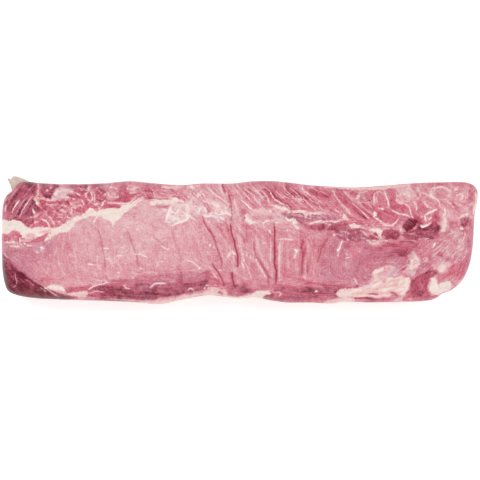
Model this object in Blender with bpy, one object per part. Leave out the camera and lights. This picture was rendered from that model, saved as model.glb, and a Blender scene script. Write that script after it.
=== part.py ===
"""A whole raw pork loin, boneless, lying on its fat side with the lean, bone side up.

Metres, +Z up. X runs along the loin and Y across it, with the chine side at +Y. The origin is
the centre of the footprint, on the surface that the loin lies on.
"""

import bmesh
import bpy
import numpy as np

# Sizes of the whole, in metres.
LENGTH = 0.600
EYE_TOP = 0.0585
CHINE_TOP = 0.0535
WIDEST_LEVEL = 0.027

# How the edge turns over from the top, and under to the flat base.
SIDE_TURN = 0.027
END_TURN = 0.017
TOP_ROUNDNESS = 2.35
UNDER_TURN = 0.021
UNDER_ROUNDNESS = 2.3

# The eye of the loin stands over the rib band, and the thin end is lower than the thick one.
EYE_Y = -0.014
EYE_HALF_WIDTH = 0.045
THIN_END_DROP = 0.07
THICK_END_DROP = 0.03

# Places below are pixels of a picture taken from straight above, 480 pixels wide. They hold at
# the widest level: the top is nearer the camera, so it is seen a little larger.
PICTURE_LENGTH = 475.4
PICTURE_CENTRE = (239.8, 240.0)
PIXEL = LENGTH / PICTURE_LENGTH
CAMERA_HEIGHT = 3.4

# The outline: the chine edge, the thin end, the belly edge and the thick end.
CHINE_EDGE = [(19.5, 183), (28, 181.6), (40, 183), (72, 184), (104, 183.2), (130, 181.1), (152, 183), (180, 185),
              (202, 183.4), (232, 183.4), (252, 181.2), (276, 181.2), (312, 185.2), (352, 187.3), (380, 186),
              (412, 183.2), (442, 182.1), (464, 182.1)]
THIN_END = [(472.5, 184.6), (476.9, 190), (477.4, 198), (474.6, 213), (473.4, 232), (472, 251), (468, 268.5),
            (461, 281.5), (451.5, 290), (441.5, 294)]
BELLY_EDGE = [(436.5, 298), (426, 300.8), (396, 302), (366, 302.4), (344, 301.6), (331, 303.4), (310, 302.6),
              (286, 302.4), (270, 300.2), (256, 297.6), (236, 298.4), (210, 295.2), (186, 298.8), (160, 304),
              (136, 302.2), (104, 300.8), (66, 299.7), (34, 298)]
THICK_END = [(16, 294.8), (8, 290.4), (4.4, 281), (2.5, 267), (2.2, 250), (2.3, 226), (3, 207), (6, 197), (12.5, 190.5)]

# The corner of the fat cap that sticks out past the meat: two points, and a root inside the body.
FLAP_EDGE = [(11.8, 191), (9.8, 184.5), (7, 178), (10.4, 178.7), (13, 176), (20, 177.3), (26.5, 180.2), (32, 183.2)]
FLAP_ROOT = [(31, 192), (23, 198), (15, 199)]
FLAP_LEVEL = 0.024
FLAP_THICK = 0.0042
FLAP_EDGE_ROUND = 0.0016
FLAP_EDGE_RINGS = 5
FLAP_DROOP = 0.004

# The seam of fat between the rib band and the eye.
SEAM = [(2, 226), (18, 231), (36, 233), (52, 230), (68, 221), (84, 211), (112, 213), (128, 206), (142, 200), (170, 199),
        (186, 207), (206, 213), (232, 214), (262, 212), (290, 213), (318, 216), (345, 224), (372, 230), (404, 231),
        (428, 237), (444, 231)]
SEAM_WIDTH = 6.5
SEAM_DEPTH = 0.0026

# Grooves between the diagonal bundles of the rib band.
BUNDLE_GROOVES = [
    [(222, 184), (226, 193), (231, 203), (232, 214)],
    [(261, 189), (269, 198), (281, 205), (292, 211)],
    [(283, 184), (291, 195), (302, 204), (312, 211)],
    [(301, 190), (312, 200), (326, 211)],
    [(331, 190), (338, 201), (353, 217)],
    [(357, 201), (367, 213), (382, 224)],
    [(384, 191), (389, 203), (391, 210)],
    [(398, 206), (410, 213), (413, 219)],
    [(414, 202), (419, 212), (424, 222)],
]
BUNDLE_WIDTH = 3.6
BUNDLE_DEPTH = 0.0024

# Creases that run across the eye, each with its depth in metres.
CREASES = [
    ([(274, 222), (274.5, 240), (275, 255), (274.4, 264), (276.4, 271), (275, 284)], 0.0034),
    ([(228, 218), (231, 230), (235, 244), (238, 256), (237.5, 268)], 0.0032),
    ([(232.5, 269), (233, 280), (235.5, 289)], 0.0028),
    ([(202, 217), (207, 227), (214, 238), (218, 250), (221, 262), (223, 273)], 0.0022),
    ([(211, 262), (218, 272), (226, 288)], 0.0026),
    ([(254, 241), (254.5, 252), (261, 264), (268, 274), (269, 288)], 0.0022),
    ([(304, 238), (301.5, 249), (302.5, 262), (301.5, 277)], 0.0022),
    ([(329, 236), (322, 250), (318, 262)], 0.0018),
]
CREASE_WIDTH = 3.0

# Edges where one muscle stands above the next. Each has its drop in metres and how far the drop
# reaches, in pixels; the lower side is on the right of the line as the picture shows it.
STEPS = [
    ([(-6, 247), (12, 263), (28, 275), (44, 287), (66, 300)], 0.0036, 40),
    ([(88, 290), (108, 282), (130, 283), (160, 281), (200, 281), (232, 286)], 0.0020, 14),
    ([(300, 291), (322, 288), (345, 287), (362, 286)], 0.0016, 10),
    ([(410, 283), (418, 277), (430, 272), (442, 275)], 0.0026, 16),
]
STEP_SLOPE = 3.0

# Hollows and swellings: the place, the half sizes in pixels, and the height in metres.
HOLLOWS = [
    ((409, 223), (7, 6), -0.0030),
    ((466, 221), (5, 5), -0.0022),
    ((395, 234), (8, 5), -0.0014),
    ((424, 232), (18, 8), -0.0018),
    ((404, 252), (8, 6), -0.0012),
    ((206, 284), (7, 5), -0.0024),
    ((48, 195), (9, 6), -0.0016),
    ((316, 228), (26, 6), -0.0014),
    ((110, 247), (62, 24), 0.0020),
    ((62, 209), (22, 14), 0.0020),
    ((118, 195), (26, 9), 0.0016),
    ((300, 198), (60, 10), 0.0014),
    ((440, 200), (26, 12), 0.0020),
    ((24, 204), (18, 12), 0.0018),
    ((441, 287), (13, 9), 0.0022),
    ((380, 285), (34, 10), 0.0018),
]

# Slow unevenness of the whole surface: wave lengths and heights in metres, made of a few waves each.
SWELLS = [(0.085, 0.0011), (0.038, 0.0007)]
SWELL_WAVES = 9
SWELL_SEED = 11

# Mesh: columns along the straight part, closer together where it is creased, then rays round each
# end, and rings from the rim to the middle and from the rim to the base.
ROOT_INSET = 0.072
COLUMNS = 104
CREASED_X = (-0.058, 0.122)
CREASED_DENSITY = 1.7
END_RAYS = 30
EDGE_RINGS = 7
MIDDLE_RINGS = 8
UNDER_RINGS = 4


def smoothstep(low, high, value):
    t = np.clip((value - low) / (high - low), 0, 1)
    return t * t * (3 - 2 * t)


def smooth_line(points, spacing, closed=False):
    """A smooth curve through the points, as points about that far apart."""
    points = np.array(points, float)
    if closed:
        points = np.vstack([points[-1:], points, points[:2]])
    else:
        points = np.vstack([2 * points[0] - points[1], points, 2 * points[-1] - points[-2]])
    along = np.concatenate([[0], np.cumsum(np.linalg.norm(np.diff(points, axis=0), axis=1))])
    slopes = (points[2:] - points[:-2]) / (along[2:] - along[:-2])[:, None]
    points, knots = points[1:-1], along[1:-1]
    at = np.linspace(knots[0], knots[-1], max(2, int(np.ceil((knots[-1] - knots[0]) / spacing)) + 1))
    k = np.clip(np.searchsorted(knots, at, side="right") - 1, 0, len(knots) - 2)
    width = (knots[k + 1] - knots[k])[:, None]
    t = (at - knots[k])[:, None] / width
    return ((1 + 2 * t) * (1 - t) ** 2 * points[k] + t * (1 - t) ** 2 * width * slopes[k]
            + t * t * (3 - 2 * t) * points[k + 1] + t * t * (t - 1) * width * slopes[k + 1])


def to_metres(pixels):
    """Places in the picture as metres, at the widest level."""
    pixels = np.array(pixels, float)
    return np.stack([pixels[..., 0] - PICTURE_CENTRE[0], PICTURE_CENTRE[1] - pixels[..., 1]], -1) * PIXEL


def to_pixels(x, y, z):
    """Where the camera sees a point."""
    pixels_per_metre = (CAMERA_HEIGHT - WIDEST_LEVEL) / (CAMERA_HEIGHT - z) / PIXEL
    return PICTURE_CENTRE[0] + x * pixels_per_metre, PICTURE_CENTRE[1] - y * pixels_per_metre


def distance_to(path, px, py):
    """Distance to a smooth line, which side of it, 1 on its right, and how far along it, 0 to 1."""
    line = smooth_line(path, 2.0)
    nearest = np.full(np.shape(px), np.inf)
    side = np.zeros(np.shape(px))
    along = np.zeros(np.shape(px))
    for k, (start, end) in enumerate(zip(line[:-1], line[1:])):
        run = end - start
        t = np.clip(((px - start[0]) * run[0] + (py - start[1]) * run[1]) / (run @ run), 0, 1)
        dx = px - start[0] - t * run[0]
        dy = py - start[1] - t * run[1]
        far = np.hypot(dx, dy)
        closer = far < nearest
        nearest = np.where(closer, far, nearest)
        side = np.where(closer, np.sign(run[0] * dy - run[1] * dx), side)
        along = np.where(closer, (k + t) / (len(line) - 1), along)
    return nearest, side, along


def groove(path, width, px, py):
    """1 at the bottom of a groove and 0 beside it, fading out at its ends."""
    far, _, along = distance_to(path, px, py)
    return np.exp(-(far / width) ** 2) * smoothstep(0, 0.18, along) * smoothstep(0, 0.18, 1 - along)


def step_down(path, reach, px, py):
    """1 just past an edge, on its lower side, easing back to 0 away from it and at its ends."""
    far, side, along = distance_to(path, px, py)
    inside = smoothstep(0, 0.12, along) * smoothstep(0, 0.12, 1 - along)
    return inside * smoothstep(-STEP_SLOPE, STEP_SLOPE, far * side) * (1 - smoothstep(0.5, 1, far / reach))


def relief(px, py):
    """Height in metres that seams, bundles, creases and muscle edges add to the smooth top."""
    far, _, _ = distance_to(SEAM, px, py)
    height = -SEAM_DEPTH * np.exp(-(far / SEAM_WIDTH) ** 2)
    for path in BUNDLE_GROOVES:
        height -= BUNDLE_DEPTH * groove(path, BUNDLE_WIDTH, px, py)
    for path, depth in CREASES:
        height -= depth * groove(path, CREASE_WIDTH, px, py)
    for path, drop, reach in STEPS:
        height -= drop * step_down(path, reach, px, py)
    for (x, y), (half_x, half_y), rise in HOLLOWS:
        height += rise * np.exp(-((px - x) / half_x) ** 2 - ((py - y) / half_y) ** 2)
    return height


def swell(x, y):
    """Slow unevenness of the surface, in metres."""
    draw = np.random.default_rng(SWELL_SEED)
    height = np.zeros(np.shape(x))
    for wave, rise in SWELLS:
        for _ in range(SWELL_WAVES):
            turn, phase = draw.uniform(0, 2 * np.pi, 2)
            k = 2 * np.pi / (wave * draw.uniform(0.75, 1.35))
            height += rise * np.cos(k * (x * np.cos(turn) + y * np.sin(turn)) + phase) / np.sqrt(SWELL_WAVES)
    return height


def crown(x, y):
    """Height of the smooth top away from the edges."""
    eye = np.exp(-((y - EYE_Y) / EYE_HALF_WIDTH) ** 2)
    ends = THIN_END_DROP * smoothstep(0.10, 0.30, x) + THICK_END_DROP * smoothstep(0.22, 0.30, -x)
    return (CHINE_TOP + (EYE_TOP - CHINE_TOP) * eye) * (1 - ends)


def edge_curve(share, roundness):
    """0 at the rim and 1 where the edge has turned over."""
    return (1 - (1 - np.clip(share, 0, 1)) ** roundness) ** (1 / roundness)


def column_places(left, right):
    """Where the columns stand along the loin, closer together in its creased part."""
    x = np.linspace(left, right, 400)
    density = np.where((x > CREASED_X[0]) & (x < CREASED_X[1]), CREASED_DENSITY, 1.0)
    travel = np.concatenate([[0], np.cumsum((density[1:] + density[:-1]) / 2)])
    return np.interp(np.linspace(0, travel[-1], COLUMNS + 1), travel, x)


def end_tips(outline, root, turns):
    """Where rays from a root at these turns meet the outline."""
    out = outline - (root, 0.0)
    across = np.mod(np.arctan2(out[:, 1], out[:, 0]) - turns[0], 2 * np.pi)
    order = np.argsort(across)
    reach = np.interp(turns - turns[0], across[order], np.linalg.norm(out, axis=1)[order])
    return np.stack([root + reach * np.cos(turns), reach * np.sin(turns)], 1)


def rays():
    """The middle line's places, and for each ray, anticlockwise, its place on that line and its tip."""
    outline = smooth_line(to_metres(CHINE_EDGE + THIN_END + BELLY_EDGE + THICK_END), 0.0005, closed=True)
    columns = column_places(outline[:, 0].min() + ROOT_INSET, outline[:, 0].max() - ROOT_INSET)
    turns = np.linspace(-np.pi / 2, np.pi / 2, END_RAYS + 1)[:-1]
    halves = []
    for half in (outline[outline[:, 1] > 0], outline[outline[:, 1] <= 0]):
        half = half[np.argsort(half[:, 0])]
        halves.append(np.stack([columns, np.interp(columns, *half.T)], 1))
    chine, belly = halves
    tips = np.vstack([end_tips(outline, columns[-1], turns), chine[:0:-1],
                      end_tips(outline, columns[0], turns + np.pi), belly[:-1]])
    root_of_ray = np.concatenate([np.full(END_RAYS, COLUMNS), np.arange(COLUMNS, 0, -1),
                                  np.zeros(END_RAYS, int), np.arange(COLUMNS)])
    roots = np.stack([columns, np.zeros(COLUMNS + 1)], 1)
    return roots, root_of_ray, tips


def eased(count):
    """Shares from just over 0 to 1, close together near 0."""
    return (1 - np.cos(np.linspace(0, np.pi / 2, count + 1)))[1:]


def loin_rings(roots, root_of_ray, tips):
    """The body's rings of points: rim to the middle of the top, and the rings under the rim."""
    out = tips - roots[root_of_ray]
    reach = np.linalg.norm(out, axis=1)
    out = out / reach[:, None]
    turn = SIDE_TURN + (END_TURN - SIDE_TURN) * out[:, 0] ** 2
    rim = WIDEST_LEVEL + 0.5 * swell(*tips.T)

    def top_ring(inset):
        x, y = (tips - out * inset[:, None]).T
        edge = edge_curve(inset / turn, TOP_ROUNDNESS)
        smooth = rim + (crown(x, y) + swell(x, y) - rim) * edge
        return np.stack([x, y, smooth + relief(*to_pixels(x, y, smooth)) * smoothstep(0.0, 0.55, edge)], 1)

    def under_ring(share):
        x, y = (tips - out * UNDER_TURN * share).T
        return np.stack([x, y, rim * (1 - edge_curve(share, UNDER_ROUNDNESS))], 1)

    top = [top_ring(turn * share) for share in (0.0, *eased(EDGE_RINGS))]
    top += [top_ring(turn + (reach - turn) * share) for share in np.linspace(0, 1, MIDDLE_RINGS + 1)[1:-1]]
    return top, [under_ring(share) for share in eased(UNDER_RINGS)]


def loin_body():
    """The whole body as one closed mesh."""
    roots, root_of_ray, tips = rays()
    top, under = loin_rings(roots, root_of_ray, tips)
    smooth = crown(*roots.T) + swell(*roots.T)
    top_middle = np.column_stack([roots, smooth + relief(*to_pixels(*roots.T, smooth))])
    under_middle = np.column_stack([roots, np.zeros(len(roots))])
    points = np.vstack([*top, *under, top_middle, under_middle])

    count = len(tips)
    rim_to_top = [k * count for k in range(len(top))]
    rim_to_base = [0] + [(len(top) + k) * count for k in range(len(under))]
    top_root = (len(top) + len(under)) * count
    faces = []
    for starts, roots_start, upward in ((rim_to_top, top_root, True), (rim_to_base, top_root + len(roots), False)):
        for i in range(count):
            j = (i + 1) % count
            strip = [(outer + i, outer + j, inner + j, inner + i) for outer, inner in zip(starts[:-1], starts[1:])]
            corners = (starts[-1] + i, starts[-1] + j, roots_start + root_of_ray[j], roots_start + root_of_ray[i])
            strip.append(tuple(dict.fromkeys(corners)))
            faces += strip if upward else [face[::-1] for face in strip]
    mesh = bpy.data.meshes.new("pork_loin")
    mesh.from_pydata(points.tolist(), [], faces)
    return mesh


def fat_flap():
    """The corner of the fat cap: a thin sheet with a round edge, rooted in the body, drooping a little."""
    outline = np.vstack([smooth_line(to_metres(FLAP_EDGE), 0.0016), to_metres(FLAP_ROOT)])
    root = to_metres(FLAP_ROOT).mean(axis=0)
    reach = np.linalg.norm(outline - root, axis=1).max()
    rings = []
    for turn in np.linspace(-np.pi / 2, np.pi / 2, FLAP_EDGE_RINGS):
        spots = root + (outline - root) * (1 - FLAP_EDGE_ROUND / reach * (1 - np.cos(turn)))
        droop = FLAP_DROOP * (np.linalg.norm(spots - root, axis=1) / reach) ** 2
        rings.append(np.column_stack([spots, FLAP_LEVEL + FLAP_THICK / 2 * np.sin(turn) - droop]))
    form = bmesh.new()
    rings = [[form.verts.new(spot) for spot in ring] for ring in rings]
    for below, above in zip(rings[:-1], rings[1:]):
        for i in range(len(outline)):
            form.faces.new((below[i - 1], below[i], above[i], above[i - 1]))
    form.faces.new(rings[0])
    form.faces.new(rings[-1])
    bmesh.ops.recalc_face_normals(form, faces=form.faces)
    bmesh.ops.triangulate(form, faces=form.faces)
    mesh = bpy.data.meshes.new("fat_flap")
    form.to_mesh(mesh)
    form.free()
    return mesh


def meat_material():
    material = bpy.data.materials.new("raw_pork")
    material.use_nodes = True
    shader = material.node_tree.nodes["Principled BSDF"]
    shader.inputs["Base Color"].default_value = (0.66, 0.27, 0.32, 1)
    shader.inputs["Roughness"].default_value = 0.35
    shader.inputs["Metallic"].default_value = 0.0
    return material


def place(name, mesh):
    thing = bpy.data.objects.new(name, mesh)
    bpy.context.scene.collection.objects.link(thing)
    return thing


def main():
    for old in list(bpy.data.objects):
        bpy.data.objects.remove(old)
    loin = place("pork_loin", loin_body())
    loin.data.materials.append(meat_material())
    loin.data.shade_smooth()
    flap = place("fat_flap_form", fat_flap())
    flap.hide_render = True
    flap.display_type = "WIRE"
    union = loin.modifiers.new("flap", "BOOLEAN")
    union.operation = "UNION"
    union.solver = "EXACT"
    union.object = flap


main()
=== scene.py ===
"""Looks of the raw pork loin: the meat body and its corner of fat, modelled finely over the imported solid."""

import functools
import math

import bpy
import numpy as np
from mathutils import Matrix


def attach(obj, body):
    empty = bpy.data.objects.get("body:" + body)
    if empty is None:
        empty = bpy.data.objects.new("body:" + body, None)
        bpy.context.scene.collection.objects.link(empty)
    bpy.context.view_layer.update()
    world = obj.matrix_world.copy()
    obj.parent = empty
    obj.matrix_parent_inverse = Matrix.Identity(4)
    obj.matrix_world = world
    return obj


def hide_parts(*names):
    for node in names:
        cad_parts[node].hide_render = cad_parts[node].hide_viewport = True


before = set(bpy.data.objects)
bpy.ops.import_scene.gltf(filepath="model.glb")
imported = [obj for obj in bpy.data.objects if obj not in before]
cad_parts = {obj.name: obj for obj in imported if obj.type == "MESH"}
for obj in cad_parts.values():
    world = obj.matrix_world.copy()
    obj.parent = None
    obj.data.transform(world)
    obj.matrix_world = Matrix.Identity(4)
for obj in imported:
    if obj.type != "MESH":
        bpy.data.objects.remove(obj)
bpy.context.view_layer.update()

# Sizes of the whole, in metres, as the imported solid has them.
LENGTH = 0.600
EYE_TOP = 0.0585
CHINE_TOP = 0.0535
WIDEST_LEVEL = 0.027
SIDE_TURN = 0.027
END_TURN = 0.017
TOP_ROUNDNESS = 2.35
UNDER_TURN = 0.021
UNDER_ROUNDNESS = 2.3
ROOT_INSET = 0.072
EYE_Y = -0.014
EYE_HALF_WIDTH = 0.045
THIN_END_DROP = 0.07
THICK_END_DROP = 0.03
THIN_END_SPAN = (0.10, 0.30)
THICK_END_SPAN = (0.22, 0.30)

# Places below are pixels of a picture taken from straight above, 480 pixels wide.
PICTURE_WIDTH = 480
PICTURE_LENGTH = 475.4
PICTURE_CENTRE = (239.8, 240.0)
PIXEL = LENGTH / PICTURE_LENGTH
CAMERA_HEIGHT = 3.4
CAMERA_REACH = 20
SENSOR = 36

# The outline: the chine edge, the thin end, the belly edge and the thick end.
CHINE_EDGE = [(19.5, 183), (28, 181.6), (40, 183), (72, 184), (104, 183.2), (130, 181.1), (152, 183),
              (180, 185), (202, 183.4), (232, 183.4), (252, 181.2), (276, 181.2), (312, 185.2),
              (352, 187.3), (380, 186), (412, 183.2), (442, 182.1), (464, 182.1)]
THIN_END = [(472.5, 184.6), (476.9, 190), (477.4, 198), (474.6, 213), (473.4, 232), (472, 251),
            (468, 268.5), (461, 281.5), (451.5, 290), (441.5, 294)]
BELLY_EDGE = [(436.5, 298), (426, 300.8), (396, 302), (366, 302.4), (344, 301.6), (331, 303.4),
              (310, 302.6), (286, 302.4), (270, 300.2), (256, 297.6), (236, 298.4), (210, 295.2),
              (186, 298.8), (160, 304), (136, 302.2), (104, 300.8), (66, 299.7), (34, 298)]
THICK_END = [(16, 294.8), (8, 290.4), (4.4, 281), (2.5, 267), (2.2, 250), (2.3, 226), (3, 207), (6, 197),
             (12.5, 190.5)]
CORNER_COLUMNS = {"thick_belly": 8.2, "thin_belly": 461.0, "thick_chine": 9.0, "thin_chine": 475.6}
OUTLINE_SPACING = 0.0005
OUTLINE_STEPS = 1600
TINY = 1e-6
LEAST_GAP = 1e-7

# The corner of the fat cap that sticks out past the meat.
FLAP_EDGE = [(11.8, 191), (9.8, 184.5), (7, 178), (10.4, 178.7), (13, 176), (20, 177.3), (26.5, 180.2),
             (32, 183.2)]
FLAP_ROOT = [(31, 192), (23, 198), (15, 199)]
FLAP_LEVEL = 0.024
FLAP_THICK = 0.0042
FLAP_EDGE_ROUND = 0.0016
FLAP_DROOP = 0.004
FLAP_CRUMPLE = 0.25
FLAP_CRUMPLE_NOISE = (0.006, 17)
FLAP_SPACING = 0.0006
FLAP_FIRST_RING = 0.1
FLAP_FACE_RINGS = 12
FLAP_EDGE_RINGS = 3
FLAP_BLUSH = -0.85
FLAP_ABOVE_CAP = 50

# Mesh spacing in metres: seen from above, and down the steep edges.
PLAN_STEP = 0.00112
WALL_STEP = 0.0026
GRID_WIDTH = 0.150
EDGE_SAMPLES = 2000
UNDER_RINGS = 8
MIDDLE_COLUMNS = 90

# How curves are drawn and fade, in pixels and in shares of a line's length, and from how far off a
# patch or line is looked at.
LINE_SPACING = 1.5
FAR_OFF = 6.0
END_FADE = 0.12
GROOVE_REACH = 3
STROKE_TAPER = 0.6
TAPER_POWER = 4

# Relief, the same forms as in the solid but finer, and what only shows close up.
SEAM = [(-30, 226), (2, 226), (18, 231), (36, 233), (52, 230), (68, 221), (84, 211), (112, 213),
        (128, 206), (142, 200), (170, 199), (186, 207), (206, 213), (232, 214), (262, 212), (290, 213),
        (318, 216), (345, 224), (372, 230), (404, 231), (428, 237), (444, 231), (456, 226)]
SEAM_WIDTH = 6.5
SEAM_DEPTH = 0.0024
BUNDLE_GROOVES = [
    [(222, 184), (226, 193), (231, 203), (232, 214)],
    [(261, 189), (269, 198), (281, 205), (292, 211)],
    [(283, 184), (291, 195), (302, 204), (312, 211)],
    [(301, 190), (312, 200), (326, 211)],
    [(331, 190), (338, 201), (353, 217)],
    [(357, 201), (367, 213), (382, 224)],
    [(384, 191), (389, 203), (391, 210)],
    [(398, 206), (410, 213), (413, 219)],
    [(414, 202), (419, 212), (424, 222)],
]
BUNDLE_WIDTH = 2.4
BUNDLE_DEPTH = 0.0008
CREASES = [
    ([(273.9, 220), (274.5, 240), (274.8, 255), (274.2, 264), (276.3, 271), (275.3, 286)], 0.0030),
    ([(229, 193), (231, 204), (231.5, 214), (231, 222)], 0.0014),
    ([(229.6, 222), (231.4, 232), (234, 241), (236, 249), (237.7, 258), (237.3, 269)], 0.0028),
    ([(232.5, 271), (233, 280), (235.5, 289)], 0.0028),
    ([(203, 218), (207, 228), (213, 237), (217, 248), (221, 260), (222, 270)], 0.0012),
    ([(211, 262), (217, 271), (221, 278), (225, 287)], 0.0022),
    ([(246.5, 222), (246.5, 232), (247, 244)], 0.0010),
    ([(254, 240), (255, 252), (261, 264), (268, 275), (268.6, 288)], 0.0014),
    ([(300, 229), (300, 238)], 0.0010),
    ([(304, 240), (300.5, 249)], 0.0018),
    ([(304, 250), (302.5, 262), (301.5, 277)], 0.0016),
    ([(328, 237), (321, 250), (317, 263)], 0.0014),
    ([(98, 226), (101, 240), (104, 256), (106, 273)], 0.0009),
    ([(66, 236), (68, 245), (70.5, 254)], 0.0007),
    ([(127, 228), (132, 242), (136, 254), (139, 268)], 0.0010),
    ([(150, 233), (160, 242), (165, 247)], 0.0007),
    ([(170, 228), (175, 240), (178, 250), (182, 262)], 0.0006),
    ([(176, 266), (181, 272), (181.5, 282)], 0.0010),
]
CREASE_PROFILE = [(1.7, 0.5), (4.5, 0.35)]
STEPS = [
    ([(-6, 247), (12, 263), (28, 275), (44, 287), (66, 300)], 0.0034, 40),
    ([(88, 290), (108, 282), (130, 283), (160, 281), (200, 281), (232, 286)], 0.0011, 14),
    ([(300, 291), (322, 288), (345, 287), (362, 286)], 0.0006, 10),
    ([(410, 283), (418, 277), (430, 272), (442, 275)], 0.0022, 16),
]
STEP_SLOPE = 2.0
STEP_HOLD = 0.5
HOLLOWS = [
    ((409, 223), (7, 6), -0.0030),
    ((466, 221), (5, 5), -0.0020),
    ((395, 234), (8, 5), -0.0014),
    ((424, 232), (18, 8), -0.0016),
    ((404, 252), (8, 6), -0.0012),
    ((206, 284), (7, 5), -0.0022),
    ((48, 195), (9, 6), -0.0016),
    ((316, 228), (26, 6), -0.0014),
    ((110, 247), (62, 24), 0.0020),
    ((62, 209), (22, 14), 0.0020),
    ((118, 195), (26, 9), 0.0016),
    ((300, 198), (60, 10), 0.0014),
    ((440, 200), (26, 12), 0.0020),
    ((24, 204), (18, 12), 0.0018),
    ((441, 287), (13, 9), 0.0022),
    ((380, 285), (34, 10), 0.0018),
]
SWELLS = [(0.085, 0.0011), (0.038, 0.0007)]
SWELL_WAVES = 9
SWELL_SPREAD = (0.75, 1.35)
SWELL_SEED = 11
RIM_SWELL = 0.5
LUMPS = [(0.014, 0.00045, 3), (0.0055, 0.00022, 4)]
STREAK_RELIEF = 0.00035
RELIEF_FADE = 0.55

# Which way the fibres run, at places in the picture, in degrees clockwise from the picture's +X.
FIBRE_TURNS = [
    ((10, 206), -62), ((22, 205), -58), ((36, 196), -52), ((30, 218), -50), ((20, 240), 5), ((60, 200), 30),
    ((85, 200), 40), ((110, 195), 15), ((125, 207), -20), ((145, 195), 10), ((165, 195), 5), ((190, 193), 45),
    ((215, 192), 52), ((230, 200), 72), ((250, 195), 45), ((270, 195), 45), ((300, 197), 42),
    ((335, 200), 48), ((360, 208), 42), ((385, 200), 75), ((392, 218), 20), ((405, 205), 55),
    ((430, 200), 40), ((440, 222), 85), ((455, 200), 30), ((470, 220), 85), ((300, 216), 8), ((340, 226), 5),
    ((370, 233), 10), ((395, 234), 20), ((380, 252), -6), ((400, 262), -12), ((430, 250), -35),
    ((455, 250), -50), ((462, 270), -70), ((12, 275), 60), ((30, 288), 35), ((60, 297), 18), ((110, 290), 6),
    ((150, 290), 2), ((190, 288), -8), ((240, 290), 10), ((290, 293), 6), ((330, 292), 8), ((380, 298), -2),
    ((420, 285), -70), ((445, 288), -10), ((60, 250), 82), ((110, 250), 84), ((160, 245), 78),
    ((210, 250), 68), ((250, 260), 74), ((290, 255), 88), ((325, 260), 105), ((350, 262), 60),
]
FIBRE_STRETCH = 1.6
FIBRE_SOFTNESS = 20
FIBRE_FALL = 1.5

# The field of streaks over the picture. Its settings are how often the grains are blurred and how far
# they are drawn out; the mix has each one's share first.
FIELD_STEP = 0.5
FIELD_LOW = (-10.0, 165.0)
FIELD_SHAPE = (1000, 300)
FIELD_MARGIN = 1.001
STREAK_SEED = 5
RELIEF_STREAKS = (1, 11)
LENS_STREAKS = (3, 6)
STREAK_MIX = [(0.6, (1, 9)), (0.7, (4, 16))]

# Noise: how many values it draws from, how they are spread over the cells, and how it fades by octave.
NOISE_VALUES = 4096
NOISE_PRIMES = (73856093, 19349663, 83492791)
CLOUD_FALL = 1.7

# Colours as the screen shows them, 0 to 255, by tone: rose meat, purple meat, and fat from its grey
# corner through cream to pink.
PAINT_LEVEL = 0.83
GLOSS_SHARE = 0.016
DARKEST = 0.002
WARM_MEAT = [(0.00, (238, 196, 199)), (0.15, (228, 169, 176)), (0.35, (218, 138, 150)),
             (0.55, (209, 104, 124)), (0.75, (176, 82, 102)), (0.90, (142, 56, 75)), (1.00, (114, 32, 49))]
COOL_MEAT = [(0.00, (228, 192, 201)), (0.15, (216, 162, 177)), (0.35, (200, 128, 146)),
             (0.55, (184, 108, 128)), (0.75, (158, 82, 103)), (0.90, (121, 57, 75)), (1.00, (98, 38, 53))]
FAT = [(0.00, (214, 194, 179)), (0.50, (244, 230, 221)), (0.75, (240, 205, 199)), (1.00, (233, 180, 181))]
FILM = (236, 212, 215)
# The white of lines, also the colour of painted glints.
WHITE_AND_GLINT = (252, 238, 234)
# The red of a crease's line: partly juice in the crease, partly painted shade.
CREASE_RED_AND_SHADE = (170, 66, 84)

# Tones, in shares of the range from pale to dark, and how much they waver. A cloud is its wave in
# pixels, its seed and how many octaves it has.
BASE_TONE = 0.19
BASE_COOL = 0.10
STREAK_TONE = 0.10
GRAIN_TONE = 0.85
STRIPE_TONE = 0.6
STRIPE_BASE = 0.45
STRIPE_SIZE = (11.0, 1.2)
STRIPE_DETAIL = 2.0
MOTTLE_TONE = 0.065
MOTTLE_IN_PALE = 0.6
MOTTLE_CLOUDS = [(1.0, (6.0, 71)), (0.8, (2.2, 75, 2))]
COOL_DRIFT = 0.15
COOL_CLOUD = (9.0, 81)
WARP = [(8.0, 0.9, 61), (3.2, 0.45, 65)]
WARP_SEED_STEP = 7
STROKE_SOFTNESS = 0.5
STROKE_SOFTEST = 0.6
SHIFT_SOFTNESS = 0.7

# Creases, in pixels either side of their line: the dark red line in each, partly juice gathered there and
# partly painted shade, and the painted shade darkening the meat round them.
CREASE_EDGE = (1.15, 0.25)
CREASE_RAGGED = 0.9
CREASE_REACH = (2.0, 3.0)
CREASE_END_FADE = 0.1
FULL_CREASE = 0.0027
CREASE_SHADE = 0.20
CREASE_SHADE_REACH = 2.1

# Fat: its ragged edge in pixels, where it is thin enough to blush, and the film over the meat.
FAT_EDGE = (-0.45, 0.55)
EDGE_RAGGED = 3.6
FIBRE_IN_FAT = 0.7
BASE_PINK = 0.4
PINK_EDGE = (-1.5, 1)
THIN_FAT = (2.6, 0.2)
THIN_BLUSH = 0.22
MOTTLE_BLUSH = 1.6
FIBRE_BLUSH = 0.12
HAZE = (1.6, 0.75)
FROST_BASE = 0.75
FROST_DRIFT = 0.5
FROST_CLOUD = (4.0, 91)

# White lines, some of membrane and fat and some painted glints, with their pale halo, lens-shaped flecks,
# threads and blots.
LINE_EDGE = (-0.35, 0.45)
LINE_RAGGED = 1.6
LINE_POWER = 1.2
LINE_PALES = 0.85
LINE_AND_GLINT_HALO = 0.25
HALO_REACH = 2.2
HALO_CORE = 0.3
LENS_LEVEL = 1.15
LENS_WIDTH = 1.3
LENS_WHITE = 0.7
FLECK_TONES = (0.58, 0.75)
FLECK_WHITE = 0.55
THREAD_EDGE = (0.035, 0.008)
GAP_EDGE = (-0.03, 0.09)
BLOT_EDGE = (0.02, 0.16)
BLOT_WHITE = 0.55

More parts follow.
